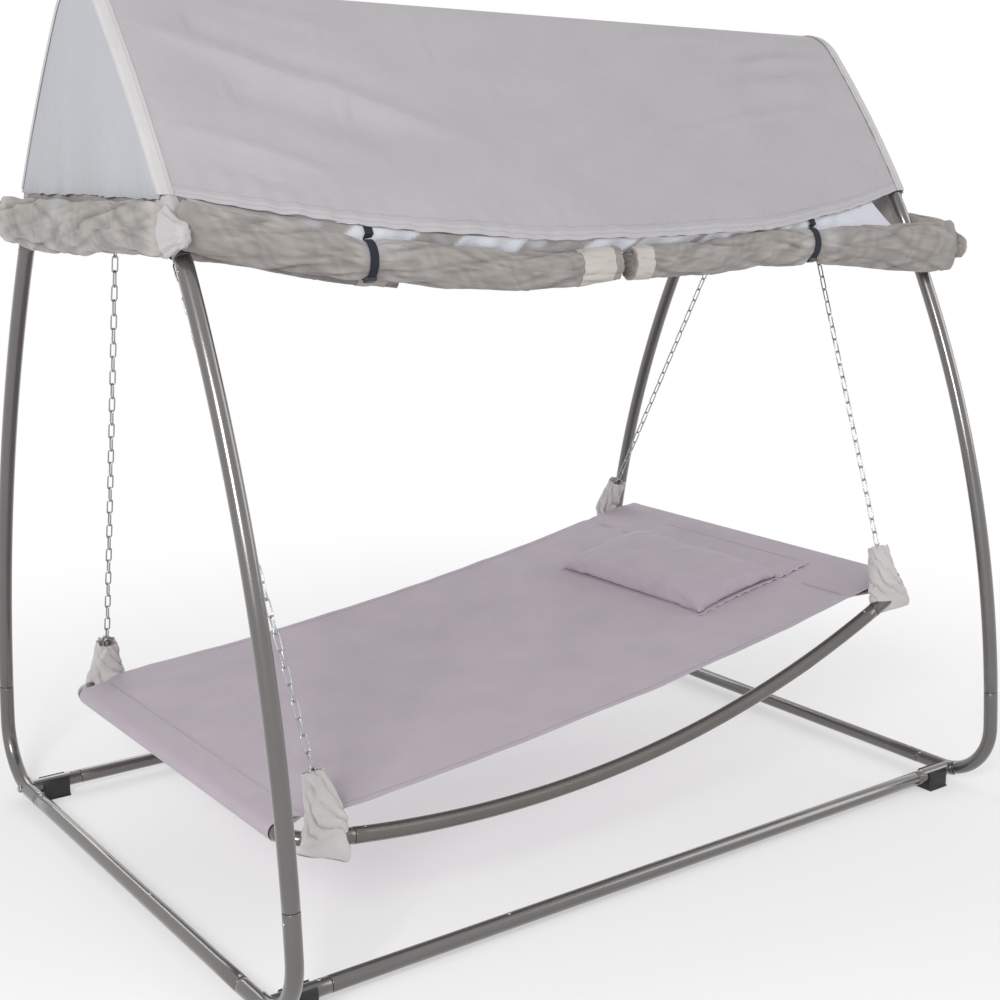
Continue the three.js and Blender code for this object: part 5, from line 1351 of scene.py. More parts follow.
class HAMMOCK_OT_pillow(bpy.types.Operator):
    """Stuffed pillow pad, its flap and its sewn edges"""

    bl_idname = "hammock.pillow"
    bl_label = "Pillow"

    def execute(self, context):
        self.pad(context.scene.hammock_sizes.pillow_pressure)
        self.flap()
        self.edges()
        lines = []
        for where, lift in ((PAD_BACK + 0.004, 0.0075), (FLAP_END - 0.008, 0.0055)):
            lines.append(on_bed(np.full(70, where), np.linspace(-0.3, 0.3, 70), np.full(70, SLEEVE_R + lift)))
        stitches("pillow_stitches", lines, "bed", "bed_cloth")
        return {"FINISHED"}

    def pad(self, pressure):
        rows, columns = 34, 60
        skin = Skin()
        top = skin.grid(pad_side(rows, columns, PAD_EDGE, PAD_CROWN))
        under = skin.grid(pad_side(rows, columns, 0.0, 0.0), flip=True)
        last = (rows - 1) * columns
        border = [*range(columns), *range(2 * columns - 1, last + columns, columns),
                  *range(last + columns - 2, last - 1, -1), *range(last - columns, 0, -columns)]
        for k, n in zip(border, border[1:] + border[:1]):
            skin.face((top + k, top + n, under + n, under + k))
        material = finish_of("pillow")
        piece = skin.build("pillow_pad", material)
        places = inflate(piece, pressure, 0.012)
        origin, inboard, up, _, _ = bed_end(-1)
        along, height, y = (places - origin) @ inboard, (places - origin) @ up, places[:, 1]
        floor = SLEEVE_R + 0.0016 + cloth_drop(along, y)
        height = np.maximum(height, floor)
        lumps = 0.0034 * ripple(along, y, 0.10, 21) + 0.0016 * ripple(along + y, y, 0.04, 22)
        height += lumps * smooth((height - floor) / 0.02)
        pucker = np.sin(y * 150 + 4 * ripple(along, y, 0.1, 23)) * 0.0011
        pucker *= np.exp(-((along - PAD_FRONT) / 0.035) ** 2) + np.exp(-((along - PAD_BACK) / 0.03) ** 2)
        height += np.maximum(pucker, -0.0008) * smooth((height - floor) / 0.012)
        places = origin + along[:, None] * inboard + height[:, None] * up + y[:, None] * Y
        mesh = piece.data
        mesh.vertices.foreach_set("co", places.ravel())
        for layer in list(mesh.uv_layers):
            mesh.uv_layers.remove(layer)
        loops = np.empty(len(mesh.loops), int)
        mesh.loops.foreach_get("vertex_index", loops)
        spots = np.column_stack((y, along))[loops].astype(np.float32)
        mesh.uv_layers.new(name="UVMap").data.foreach_set("uv", spots.ravel())
        mesh.materials.clear()
        mesh.materials.append(material)
        mesh.shade_smooth()
        mesh.update()
        finer = piece.modifiers.new("finer", "SUBSURF")
        finer.levels = 1
        finer.render_levels = 1
        settle(piece, "bed", "bed_cloth", "pillow")

    def flap(self):
        """Flat cloth behind the pad, sewn down at its end."""
        share = np.linspace(0, 1, 26)[:, None]
        across = np.linspace(-1, 1, 80)[None, :]
        along = (PAD_BACK - 0.006) + (FLAP_END - PAD_BACK + 0.006) * np.repeat(share, 80, axis=1)
        y = across * PAD_WIDTH / 2 * (1 + 0.012 * np.sin(share * 17 + 1) + 0.006 * np.sin(share * 43))
        height = SLEEVE_R + 0.0030 + 0.0025 * (1 - share) ** 3 + 0.0010 * (1 + ripple(along, y, 0.05, 31))
        height = height + 0.0012 * (1 + np.sin(y * 80 + along * 30)) * np.exp(-share / 0.2)
        spots = np.stack((y, along), axis=-1)
        flap = cloth(on_bed(along, y, height), spots, 0.0014, "pillow_flap", "pillow")
        settle(flap, "bed", "bed_cloth")

    def edges(self):
        """Narrow sewn edges down both sides of pad and flap."""
        along = np.linspace(PAD_FRONT + 0.004, FLAP_END - 0.004, 150)
        inner = pad_outline(np.clip((along - PAD_FRONT) / (PAD_BACK - PAD_FRONT), 0, 1)) - 0.004
        wave = 0.0022 * np.sin(along * 170) + 0.0012 * np.sin(along * 310 + 1)
        spots = surface(along, np.linspace(0, 0.018, 4))
        edges = []
        for sign_y, side in SIDES:
            rows = []
            for k, out in enumerate((0.0, 0.003, 0.006, 0.010)):
                y = sign_y * (inner + out + (0.0014 * np.sin(along * 230) if k == 3 else 0))
                rows.append(on_bed(along, y, SLEEVE_R + 0.0046 + wave * k / 3 * 0.8))
            edges.append(cloth(np.array(rows), spots, 0.0011, f"edge_{side}", "pillow_edge"))
        edge = joined("pillow_edges", edges)
        settle(edge, "bed", "bed_cloth")


# Roof


def hem_at(x):
    """Y and Z of the hem at a place along the roof, lifted and drawn in towards the ends."""
    lift = HEM_END_LIFT * np.minimum(1, np.abs(x) / END_X) ** HEM_POWER
    return float(leg_outside(HEM_Z)) + 0.076 - lift, HEM_Z + lift


def on_frame(x):
    """1 where the cloth lies on an end frame, 0 in the middle."""
    return smooth((np.abs(x) / END_X) ** 4)


def roof_point(x, k, lift):
    """Y and Z of the roof at a place along it: k runs from -3 at the crest to 0 and on to 1 at the hem."""
    hem_y, hem_z = hem_at(x)
    clear = 1.5 * SEAT_GAP + lift
    tied_share = on_frame(x)
    ridge_r = TUBE_R + clear
    bend_r = APEX_BEND_R + TUBE_R + clear
    steep = np.arctan2(RIDGE_Z - hem_z, hem_y)
    crest = np.clip((k + 3) / 3, 0, 1)
    ridge = np.pi / 2 - steep * crest
    bend = np.pi / 2 - (np.pi / 2 - LEG_END) * crest
    free_y, free_z = ridge_r * np.cos(ridge), RIDGE_Z + ridge_r * np.sin(ridge)
    tied_y, tied_z = bend_r * np.cos(bend), APEX_BEND_Z + bend_r * np.sin(bend)
    share = np.clip(k, 0, 1)
    start_y, start_z = ridge_r * np.sin(steep), RIDGE_Z + ridge_r * np.cos(steep)
    end_y, end_z = hem_y + lift * np.sin(steep), hem_z + lift * np.cos(steep)
    sag = 0.009 * np.sin(np.pi * share) * (1 - tied_share)
    slope_y = start_y + (end_y - start_y) * share - sag * np.sin(steep)
    slope_z = start_z + (end_z - start_z) * share - sag * np.cos(steep)
    leg_r = LEG_RADIUS + TUBE_R + clear
    hem_angle = np.arcsin((hem_z - LEG_UPRIGHT_Z) / leg_r)
    angle = LEG_END + (hem_angle - LEG_END) * share
    leg_y, leg_z = LEG_CENTRE_Y + leg_r * np.cos(angle), LEG_UPRIGHT_Z + leg_r * np.sin(angle)
    on_slope = k > 0
    free_y, free_z = np.where(on_slope, slope_y, free_y), np.where(on_slope, slope_z, free_z)
    tied_y, tied_z = np.where(on_slope, leg_y, tied_y), np.where(on_slope, leg_z, tied_z)
    return free_y + (tied_y - free_y) * tied_share, free_z + (tied_z - free_z) * tied_share


# Folds on the near slope: points (along the roof, share of the slope), height and half width
NEAR_FOLDS = (
    (((-1.078, 0.066), (-1.003, 0.158), (-0.907, 0.258), (-0.761, 0.370), (-0.608, 0.430), (-0.437, 0.512),
      (-0.30, 0.56)), 0.011, 0.026),
    (((-1.02, 0.02), (-0.881, 0.16), (-0.717, 0.27), (-0.56, 0.34), (-0.42, 0.40)), -0.007, 0.030),
    (((-0.96, 0.40), (-0.80, 0.48), (-0.62, 0.55), (-0.45, 0.62)), -0.006, 0.045),
    (((-0.874, 0.02), (-0.704, 0.085), (-0.523, 0.139)), 0.005, 0.022),
    (((-1.07, 0.652), (-0.990, 0.675), (-0.876, 0.732), (-0.70, 0.79)), 0.006, 0.024),
    (((-1.05, 0.78), (-0.93, 0.83), (-0.80, 0.88)), -0.004, 0.022),
    (((-0.586, 0.016), (-0.600, 0.15), (-0.614, 0.272)), 0.0035, 0.006),
    (((-0.286, 0.0), (-0.305, 0.15), (-0.324, 0.301)), 0.0040, 0.007),
    (((-0.262, 0.0), (-0.264, 0.132)), 0.0030, 0.006),
    (((0.001, 0.011), (-0.02, 0.15), (-0.050, 0.282)), 0.0035, 0.006),
    (((0.297, 0.017), (0.257, 0.219)), 0.0030, 0.006),
    (((0.665, 0.028), (0.671, 0.175)), 0.0030, 0.006),
    (((-0.607, 0.425), (-0.618, 0.549)), 0.0030, 0.006),
    (((-0.900, 0.363), (-0.881, 0.547)), 0.0030, 0.007),
    (((0.348, 0.141), (0.40, 0.08), (0.456, 0.06), (0.62, 0.05), (0.82, 0.05)), 0.0050, 0.012),
    (((0.70, 0.14), (0.83, 0.09), (0.97, 0.05)), -0.0080, 0.018),
    (((0.761, 0.179), (0.90, 0.13), (1.05, 0.08)), 0.0085, 0.016),
    (((0.80, 0.24), (0.92, 0.20), (1.06, 0.16)), -0.0060, 0.018),
    (((0.69, 0.311), (0.80, 0.30), (0.93, 0.302)), 0.0070, 0.040),
    (((0.254, 0.505), (0.386, 0.523), (0.660, 0.461), (0.958, 0.430)), 0.0030, 0.008),
    (((0.98, 0.80), (1.05, 0.93)), 0.0060, 0.012),
    (((0.94, 0.84), (1.00, 0.95)), -0.0040, 0.012),
)


def fold_height(x, share):
    """Height of tapered folds that follow lines on the slope."""
    height = np.zeros_like(x)
    down = share * SLOPE_LENGTH
    for line, depth, width in NEAR_FOLDS:
        line = np.array(line) * (1.0, SLOPE_LENGTH)
        steps = travelled(line)
        best = np.full(x.shape, 9.0)
        where = np.zeros_like(x)
        for a, step, start, stop in zip(line, np.diff(line, axis=0), steps, steps[1:]):
            t = np.clip(((x - a[0]) * step[0] + (down - a[1]) * step[1]) / (stop - start) ** 2, 0, 1)
            gap = np.hypot(x - a[0] - t * step[0], down - a[1] - t * step[1])
            where = np.where(gap < best, (start + t * (stop - start)) / steps[-1], where)
            best = np.minimum(gap, best)
        taper = smooth(where / 0.2) * smooth((1 - where) / 0.25) + 0.12
        height += 1.25 * depth * taper * np.exp(-(best / width) ** 2)
    return height


def roof_lift(x, share, side, depth):
    """How far the cloth stands off its even surface. The far slope has the near one's folds turned round."""
    down = share * SLOPE_LENGTH + 3 * side
    lift = fold_height(-side * x, share)
    lift += 0.0055 * ripple(x, down, 0.24, 41)
    lift += 0.0020 * ripple(x + 0.5 * share, down, 0.085, 42)
    lift += 0.0009 * ripple(x, down, 0.032, 44)
    gather = 0.0035 * np.sin(x * 95 + 3 * ripple(x, share, 0.2, 43)) * smooth((share - 0.72) / 0.28)
    lift += gather * (0.35 + 0.65 * smooth((np.abs(x) - 0.7) / 0.3))
    lift *= depth * smooth(share / 0.05 + 0.15)
    tied = on_frame(x)
    lift = np.where(tied > 0.5, np.maximum(lift, 0) * 0.6, lift * (1 - 0.5 * tied))
    return lift * smooth((ROOF_X - 0.028 - np.abs(x)) / 0.03)


# Places down one half of the roof, from the crest to the ridge tube's side and on to the hem
ROOF_ROWS = np.concatenate((np.linspace(-3, 0, 7), np.linspace(0, 1, 58)[1:]))


def slope_grid(x, side, depth):
    """Points on one half of the roof, with the folds."""
    grid_x, k = np.meshgrid(x, ROOF_ROWS, indexing="ij")
    y, z = roof_point(grid_x, k, 0.0012)
    steep = np.arctan2(RIDGE_Z - hem_at(grid_x)[1], hem_at(grid_x)[0])
    off = roof_lift(grid_x, np.clip(k, 0, 1), side, depth) * smooth((k + 0.2) / 0.5)
    return np.stack((grid_x, side * (y + off * np.sin(steep)), z + off * np.cos(steep)), axis=-1)


class HAMMOCK_OT_roof(bpy.types.Operator):
    """Roof cloth, gables, edge bindings and their stitches"""

    bl_idname = "hammock.roof"
    bl_label = "Roof"

    def execute(self, context):
        depth = context.scene.hammock_sizes.fold_depth
        inner = np.linspace(-1, 1, 171)
        x = np.sign(inner) * np.abs(inner) ** 0.92 * ROOF_X
        near, far = (slope_grid(x, side, depth) for side, _ in SIDES)
        points = np.concatenate((near[:, ::-1], far[:, 1:]), axis=1)
        steps = travelled(points[len(x) // 2])
        from_hem = np.minimum(steps, steps[-1] - steps)
        spots = np.stack(np.meshgrid(x, from_hem, indexing="ij"), axis=-1)
        slopes = cloth(points, spots, ROOF_THICK, "roof_slopes", "roof_slope")
        settle(slopes, "stand", "roof_cloth", "canopy")
        lines = [grid[2:-2, row] + (0, 0, ROOF_THICK) for grid in (near, far) for row in (-2, -4)]
        for sign_x, end in ENDS:
            self.gable(sign_x, end)
            lines.append(self.binding(sign_x, end))
        stitches("roof_stitches", lines, "stand", "roof_cloth")
        return {"FINISHED"}

    def gable(self, sign_x, end):
        """End wall that hangs from the arch, its hem uneven."""
        top_y, top_z = roof_point(np.full(len(ROOF_ROWS), ROOF_X), ROOF_ROWS, 0.0004)
        share = np.linspace(-1, 1, 151)
        corner = top_y[-1]
        y = share * corner
        top = np.interp(np.abs(y), top_y, top_z)
        hem = GABLE_HEM_Z + 0.0026 * ripple(y, y * 0, 0.035, 51) + 0.0014 * ripple(y, y * 0, 0.012, 55)
        down = np.linspace(0, 1, 46)[:, None]
        z = top + (np.minimum(hem, top - 0.004) - top) * down
        y = np.repeat(y[None, :], len(down), axis=0)
        edge = smooth((top - z) / 0.05) * smooth((1 - np.abs(share)) / 0.12)
        wave = 0.0022 * np.sin(y * 29 + 2.6 * ripple(y, z, 0.25, 52)) * (0.25 + 0.75 * down)
        wave += 0.0026 * ripple(y * 2.6, z, 0.16, 53)
        wave += 0.0042 * ripple(y, z * 0.3, 0.032, 54) * down ** 5
        x = sign_x * (GABLE_X + np.maximum(wave * edge + 0.002 * down, -0.0004))
        spots = np.stack((y, z - GABLE_HEM_Z + 0.004), axis=-1)
        name = f"{end}_gable_cloth"
        piece = cloth(np.stack((x, y, z), axis=-1), spots, ROOF_THICK, name, "roof_gable")
        settle(piece, "stand", "roof_cloth")

    def binding(self, sign_x, end):
        """Edge band over the roof's end, and the line of its stitches."""
        rows = ROOF_ROWS[1:]
        seed = 61 if sign_x < 0 else 62
        profile = []
        for inset, lift in ((-0.030, 0.0028), (-0.029, 0.0036), (-0.020, 0.0036), (-0.010, 0.0036),
                            (-0.002, 0.0034), (0.0011, 0.0020), (0.0014, -0.0010), (0.0014, -0.0080)):
            x = np.full(len(rows), ROOF_X + inset)
            ruffle = 0.0010 * (1 + ripple(rows * SLOPE_LENGTH, x, 0.018, seed)) if inset < -0.015 else 0.0
            y, z = roof_point(x, rows, lift + ruffle)
            far = np.stack((sign_x * x, y, z), axis=-1)
            profile.append(np.concatenate((far[::-1] * (1, -1, 1), far)))
        grid = np.array(profile)
        steps = travelled(grid[2])
        spots = surface(steps, (0, 0.001, 0.010, 0.020, 0.028, 0.031, 0.034, 0.041))
        piece = cloth(grid, spots, 0.0009, f"{end}_roof_binding", "binding")
        settle(piece, "stand", "roof_cloth")
        return grid[2] + (grid[2] - grid[3]) * 0.15 + (0, 0, 0.0008)


# Rolled nets. Side rolls: share of half the roof, stand-off from the legs, rise of the underside over the
# hem, half depth, half height
SIDE_ROLLS = {
    "foot_near": (
        (1, .059, -.001, .032, .046), (.894, .044, -.029, .033, .048), (.769, .028, -.056, .034, .047),
        (.447, .012, -.097, .033, .045), (.295, .011, -.112, .034, .044), (.161, .014, -.108, .033, .041),
        (.029, .019, -.099, .030, .038)),
    "head_near": (
        (1, .077, -.116, .038, .068), (.939, .073, -.116, .038, .066), (.839, .049, -.108, .037, .060),
        (.68, .019, -.089, .035, .050), (.39, .021, -.080, .033, .042), (.234, .019, -.097, .033, .042),
        (.007, .019, -.099, .030, .038)),
    "foot_far": (
        (1, .055, -.009, .032, .046), (.894, .041, -.033, .033, .046), (.769, .026, -.059, .033, .046),
        (.422, .006, -.107, .033, .042), (.287, -.006, -.141, .034, .042), (.174, -.016, -.164, .034, .042),
        (.011, -.024, -.181, .030, .040)),
}
SIDE_ROLLS["head_far"] = SIDE_ROLLS["head_near"]
# Straps: as a side roll's row, where the strap draws the roll in
STRAPS = {-1: (.626, .009, -.072, .031, .040), 1: (.577, .016, -.071, .031, .040)}
# Tapes at the rolls' inner ends: shares of half the roof from which and to which they reach
TAPES = {-1: (.050, .135), 1: (.009, .058)}
# Where more layers of net darken the header: start and end along the roof, and tone
HEADER_PATCHES = ((-1.2, -.72, .1), (-.58, -.46, .05), (-.30, -.10, .15), (.02, .05, .1), (.22, .26, .0),
                  (.40, .47, .3))
# End rolls: share of their half length, rise over the gable's hem, half depth, half height
END_ROLLS = {
    "foot": (
        (-1, -.117, .023, .054), (-.78, -.107, .023, .051), (-.39, -.113, .024, .052), (0, -.125, .027, .056),
        (.39, -.129, .024, .058), (.78, -.121, .023, .055), (1, -.113, .023, .052)),
    "head": (
        (-1, -.203, .024, .064), (-.72, -.183, .025, .064), (-.34, -.157, .025, .060), (0, -.143, .027, .058),
        (.34, -.153, .025, .060), (.72, -.179, .025, .064), (1, -.201, .024, .064)),
}


def eased(table, at):
    """Smoothed values of a table's columns after its first at the given places."""
    table = np.array(sorted(table))
    fine = np.linspace(table[0, 0], table[-1, 0], 400)
    kernel = np.hanning(41)
    values = []
    for column in table.T[1:]:
        padded = np.pad(np.interp(fine, table[:, 0], column), 20, mode="reflect", reflect_type="odd")
        values.append(np.interp(at, fine, np.convolve(padded, kernel / kernel.sum(), mode="valid")))
    return values


# Creases of a wound net: half turns round the roll, twist along it, depth as a share, sharpness
ROLL_CREASES = ((1.0, 5.0, 0.13, 2.6), (1.5, -8.0, 0.09, 2.6), (2.5, 12.0, 0.075, 2.2),
                (4.0, -15.0, 0.045, 1.8), (6.5, 21.0, 0.025, 1.5))


def rolled(sections, to_space, seed, strap_at=None):
    """Rings of a wound net: sections are (along, depth middle, height middle, half depth, half height)."""
    angles = once_round(72)
    rings = []
    for along, depth, middle, half_depth, half_height in sections:
        near, wide = (0.0 if strap_at is None else math.exp(-((along - strap_at) / spread) ** 2)
                      for spread in (0.020, 0.12))
        radius = 1.06 + 0 * angles
        for number, (turns, twist, deep, sharp) in enumerate(ROLL_CREASES):
            wander = 1.3 * ripple(angles * 1.7 + 3 * number, along * 9 + angles * 0, 1.5, seed + number)
            radius = radius - deep * (1 - np.abs(np.sin(turns * angles + twist * along + wander))) ** sharp
        edge = (angles / (2 * math.pi) + 0.9 * along + 0.06 * math.sin(along * 23)) % 1.0
        radius = radius + 0.05 * (1 - edge) ** 3 - 0.05 * wide * np.abs(np.sin(angles * 5 + along * 9))
        radius = radius + 0.05 * ripple(along * 16 + angles * 0, angles * 2, 0.9, seed + 9)
        radius = radius * (1 - near) + 0.97 * near
        rings.append(to_space(along, depth + half_depth * radius * np.cos(angles),
                              middle + half_height * radius * np.sin(angles)))
    return rings


# Rings that end a roll, each by its size and its shift outward: gathered shut, or hollow at an open mouth
SHUT_END = ((0.93, 0.005), (0.78, 0.010), (0.55, 0.0135), (0.28, 0.015))
OPEN_MOUTH = ((0.90, 0.001), (0.80, -0.006), (0.66, -0.020), (0.42, -0.028), (0.15, -0.030))


def close_roll(rings, outward, steps):
    """Adds the rings that end a roll."""
    last = rings[-1]
    middle = last.mean(axis=0)
    extra = []
    for i, (size, shift) in enumerate(steps):
        ruffle = 1 + 0.05 * np.sin(once_round(len(last)) * 7 + i)
        extra.append(middle + (last - middle) * (size * ruffle)[:, None] + outward * shift)
    return rings + extra


def net_roll(name, rings, outward, inner_end):
    """A whole roll, shut at its outer end."""
    rings = close_roll(rings, outward, SHUT_END)
    rings = close_roll(rings[::-1], -outward, inner_end)
    piece = loft(rings, name + "_net", "net", sharp=70.0)
    add_tone(piece, painted_fold_light(rings))
    settle(piece, "stand", "net", name)


def side_sections(table, shares, strap=None):
    """Sections of a side roll, drawn in to the strap's own section where one is given."""
    values = eased(table, shares)
    if strap is not None:
        tight = np.exp(-((shares - strap[0]) * ROLL_HALF / 0.030) ** 2)
        values = [value + (goal - value) * tight for value, goal in zip(values, strap[1:])]
    out, rise, half_depth, half_height = values
    middle = HEM_Z + rise + half_height
    return list(zip(shares * ROLL_HALF, leg_outside(middle) + out, middle, half_depth, half_height))


class HAMMOCK_OT_nets(bpy.types.Operator):
    """Rolled side and end nets, their headers, tapes, straps and buckles"""

    bl_idname = "hammock.nets"
    bl_label = "Rolled nets and straps"

    def execute(self, context):
        seed = 70
        for sign_x, sign_y, key in CORNERS:
            seed += 5
            table, strap = SIDE_ROLLS[key], STRAPS[sign_x]
            sections = side_sections(table, np.linspace(table[-1][0], 1, 230), strap)
            place = lambda x, y, z: np.stack((sign_x * np.full(len(y), x), sign_y * y, z), axis=-1)
            rings = rolled(sections, place, seed, strap[0] * ROLL_HALF)
            net_roll(key + "_net_roll", rings, X * sign_x, OPEN_MOUTH)
            self.tape(key, TAPES[sign_x], place, seed)
            self.strap(sign_x, sign_y, key, strap)
            if sign_x < 0:
                self.leg_wrap(sign_x, sign_y, key, seed)
        for sign_y, side in SIDES:
            self.header(sign_y, side)
        for sign_x, end in ENDS:
            self.end_roll(sign_x, end)
        return {"FINISHED"}

    def tape(self, key, reach, place, seed):
        """Woven tape round a side roll's inner end."""
        grid = np.array(rolled(side_sections(SIDE_ROLLS[key], np.linspace(*reach, 14)), place, seed))
        grid = grid + (grid - grid.mean(axis=1, keepdims=True)) * 0.028
        rows, columns = grid.shape[:2]
        spots = surface(np.linspace(0, 0.22, columns + 1), np.linspace(0, 0.09, rows))
        band = cloth(grid, spots, 0.0012, key + "_net_tape", "tape", wrap=True)
        settle(band, "stand", "net")

    def end_roll(self, sign_x, end):
        """Net rolled up under a gable, thinner at its ends, with its header, and with its cuffs at the foot
        end only.
        """
        half = float(leg_outside(HEM_Z)) + ROLL_REACH[sign_x]
        shares = np.linspace(-1, 1, 150)
        rise, half_depth, half_height = eased(END_ROLLS[end], shares)
        middle = GABLE_HEM_Z + rise + half_height
        taper = 1 - 0.55 * smooth((np.abs(shares) - 0.86) / 0.14)
        half_height = half_height * taper
        half_depth = half_depth * (0.4 + 0.6 * taper)
        face = END_X + TUBE_R + 0.0012
        sections = list(zip(shares * half, face + half_depth, middle, half_depth * 0.96, half_height))
        place = lambda y, x, z: np.stack((sign_x * x, np.full(len(x), y), z), axis=-1)
        seed = 101 if sign_x < 0 else 107
        if end == "foot":
            for sign_y, side in SIDES:
                self.cuff(sections, place, seed, f"{end}_{side}_net_cuff", sign_y)
        net_roll(f"{end}_end_net_roll", rolled(sections, place, seed), Y, SHUT_END)
        self.end_header(sign_x, end, middle, half)

    def end_header(self, sign_x, end, middle, half):
        """Single layer of net from behind the gable's hem down to the end roll, kept dark: the net's own
        colour, with the shade under the hem painted in.
        """
        y = np.linspace(-0.385, 0.385, 120)
        drop = np.linspace(0, 1, 8)[:, None]
        top = GABLE_HEM_Z + 0.020
        z = top + (np.interp(y, np.linspace(-half, half, len(middle)), middle) - 0.010 - top) * drop
        points = np.stack((np.full(z.shape, sign_x * (END_X + TUBE_R + 0.0007)), y + 0 * z, z), axis=-1)
        piece = cloth(points, surface(y, drop * 0.09), 0.0006, f"{end}_net_header", "net_header")
        # one low tone over the whole sheet: the net's colour, and painted shade under the gable's hem
        add_tone(piece, np.full(2 * z.size, 0.08))
        settle(piece, "stand", "net")

    def cuff(self, sections, place, seed, name, side):
        """Pale cloth cuff round one end of an end roll, with a corded seam."""
        part = sections[8::-1] if side < 0 else sections[-9:]
        grid = np.array(close_roll(rolled(part, place, seed), Y * side, SHUT_END))
        grid[len(part):] += Y * side * 0.003
        tip = grid[-1:].mean(axis=1, keepdims=True)
        grid = np.concatenate((grid, tip + (grid[-1:] - tip) * 0.15))
        rows, columns = grid.shape[:2]
        middle = grid.mean(axis=1, keepdims=True)
        swell = 1.05 + 0.035 * np.sin(np.linspace(0, 2 * math.pi, columns) * 9)[None, :, None]
        cord = np.exp(-((np.arange(rows) - len(part) + 1) / 0.8) ** 2)[:, None, None] * 0.07
        grid = middle + (grid - middle) * (swell + cord)
        spots = surface(np.linspace(0, 0.24, columns + 1), np.linspace(0, 0.08, rows))
        piece = cloth(grid, spots, 0.0010, name, "cuff", wrap=True)
        settle(piece, "stand", "roof_cloth")

    def leg_wrap(self, sign_x, sign_y, key, seed):
        """Pale frayed cloth round the top of a leg, below the roof's corner."""
        angles = once_round(48)
        cos, sin = np.cos(angles), np.sin(angles)
        heights = np.linspace(WRAP_TOP, WRAP_LOW, 26)
        rings = []
        for height in heights:
            lean = math.asin((height - LEG_UPRIGHT_Z) / LEG_RADIUS)
            radius = 0.0200 + 0.0030 * smooth((WRAP_TOP - height) / 0.012)
            radius = radius + 0.0012 * ripple(angles * 3, height * 60 + 0 * angles, 1.1, seed + 3)
            y = LEG_CENTRE_Y + (LEG_RADIUS + radius * sin) * math.cos(lean)
            z = height + radius * sin * math.sin(lean)
            rings.append(np.stack((sign_x * (END_X + radius * cos), sign_y * y, z), axis=-1))
        spots = surface(np.linspace(0, 0.145, len(angles) + 1), heights)
        piece = cloth(np.array(rings), spots, 0.0009, key + "_leg_wrap", "cuff", wrap=True)
        settle(piece, "stand", "roof_cloth")

    def header(self, sign_y, side):
        """Single layer of net from under the hem down to the rolls."""
        x = np.linspace(-1.07, 0.955, 270)
        drop = np.linspace(0, 1, 12)[:, None]
        top_y, top_z = roof_point(x, np.full(len(x), 0.993), -0.006)
        low_y, low_z = np.empty(len(x)), np.empty(len(x))
        for i, place in enumerate(x):
            table = SIDE_ROLLS[f"{'foot' if place < 0 else 'head'}_{side}"]
            share = max(abs(place) / ROLL_HALF, table[-1][0])
            out, rise, half_depth, half_height = (float(value) for value in eased(table, share))
            middle = HEM_Z + rise + half_height
            low_y[i] = float(leg_outside(middle)) + out - half_depth * 0.3
            low_z[i] = middle + half_height * 0.7
        y = top_y + (low_y - top_y) * drop
        z = top_z + (low_z - top_z) * drop
        wave = 0.004 * np.sin(x * 70 + 3 * ripple(x, x * 0, 0.2, 121)) * np.sin(np.pi * drop)
        points = np.stack((x + 0 * z, sign_y * (y + wave), z), axis=-1)
        piece = cloth(points, surface(x, drop * 0.08), 0.0007, f"{side}_net_header", "net_header")
        light = np.ones(y.shape)
        slanted = x + 0.035 * drop
        for start, stop, tone in HEADER_PATCHES:
            inside = smooth((slanted - start) / 0.012) * smooth((stop - slanted) / 0.012)
            light = light + (tone - light) * inside
        add_tone(piece, (light, light))
        settle(piece, "stand", "net")

    def strap(self, sign_x, sign_y, key, strap):
        """Webbing round a side roll, sewn under the roof, with its buckle below the roll."""
        share, stand_off, rise, half_depth, half_height = strap
        x = share * ROLL_HALF
        middle = HEM_Z + rise + half_height
        out = float(leg_outside(middle)) + stand_off
        angles = np.linspace(math.pi / 2, -1.5 * math.pi, 56)
        loop = np.column_stack((out + (half_depth + 0.0022) * np.cos(angles),
                                middle + (half_height + 0.0022) * np.sin(angles)))
        back, hem = (roof_point(np.array(x), np.array(k), -0.0035) for k in (0.955, 1.0))
        line = np.vstack((back, hem, ((hem[0] + out) / 2 + 0.009, (hem[1] + loop[0, 1]) / 2), loop))
        widths = np.array((-0.5, -0.47, 0.47, 0.5)) * 0.020
        grid = np.array([[(sign_x * (x + w), sign_y * y, z) for w in widths] for y, z in line])
        band = cloth(grid, surface(widths, travelled(line)), 0.0017, "band", "strap")
        low = middle - half_height * 0.96 - 0.002
        place = np.array((sign_x * x, sign_y * (out + half_depth * 0.35), low))
        outward = unit((0, sign_y * 0.4, -1.0))
        corners = once_round(32)
        cos, sin = (np.sign(part) * np.abs(part) ** 0.35 for part in (np.cos(corners), np.sin(corners)))
        rings = [place + outward * shift + size * (np.outer(0.0145 * cos, X)
                                                   + np.outer(0.0095 * sin, np.cross(outward, X)))
                 for shift, size in ((-0.002, 0.9), (-0.001, 1.0), (0.004, 1.0), (0.0055, 0.86))]
        buckle = loft(rings, "buckle", "buckle", sharp=35.0)
        settle(joined(key + "_roll_strap_web", [band, buckle]), "stand", "webbing", key + "_roll_strap")


# Stage


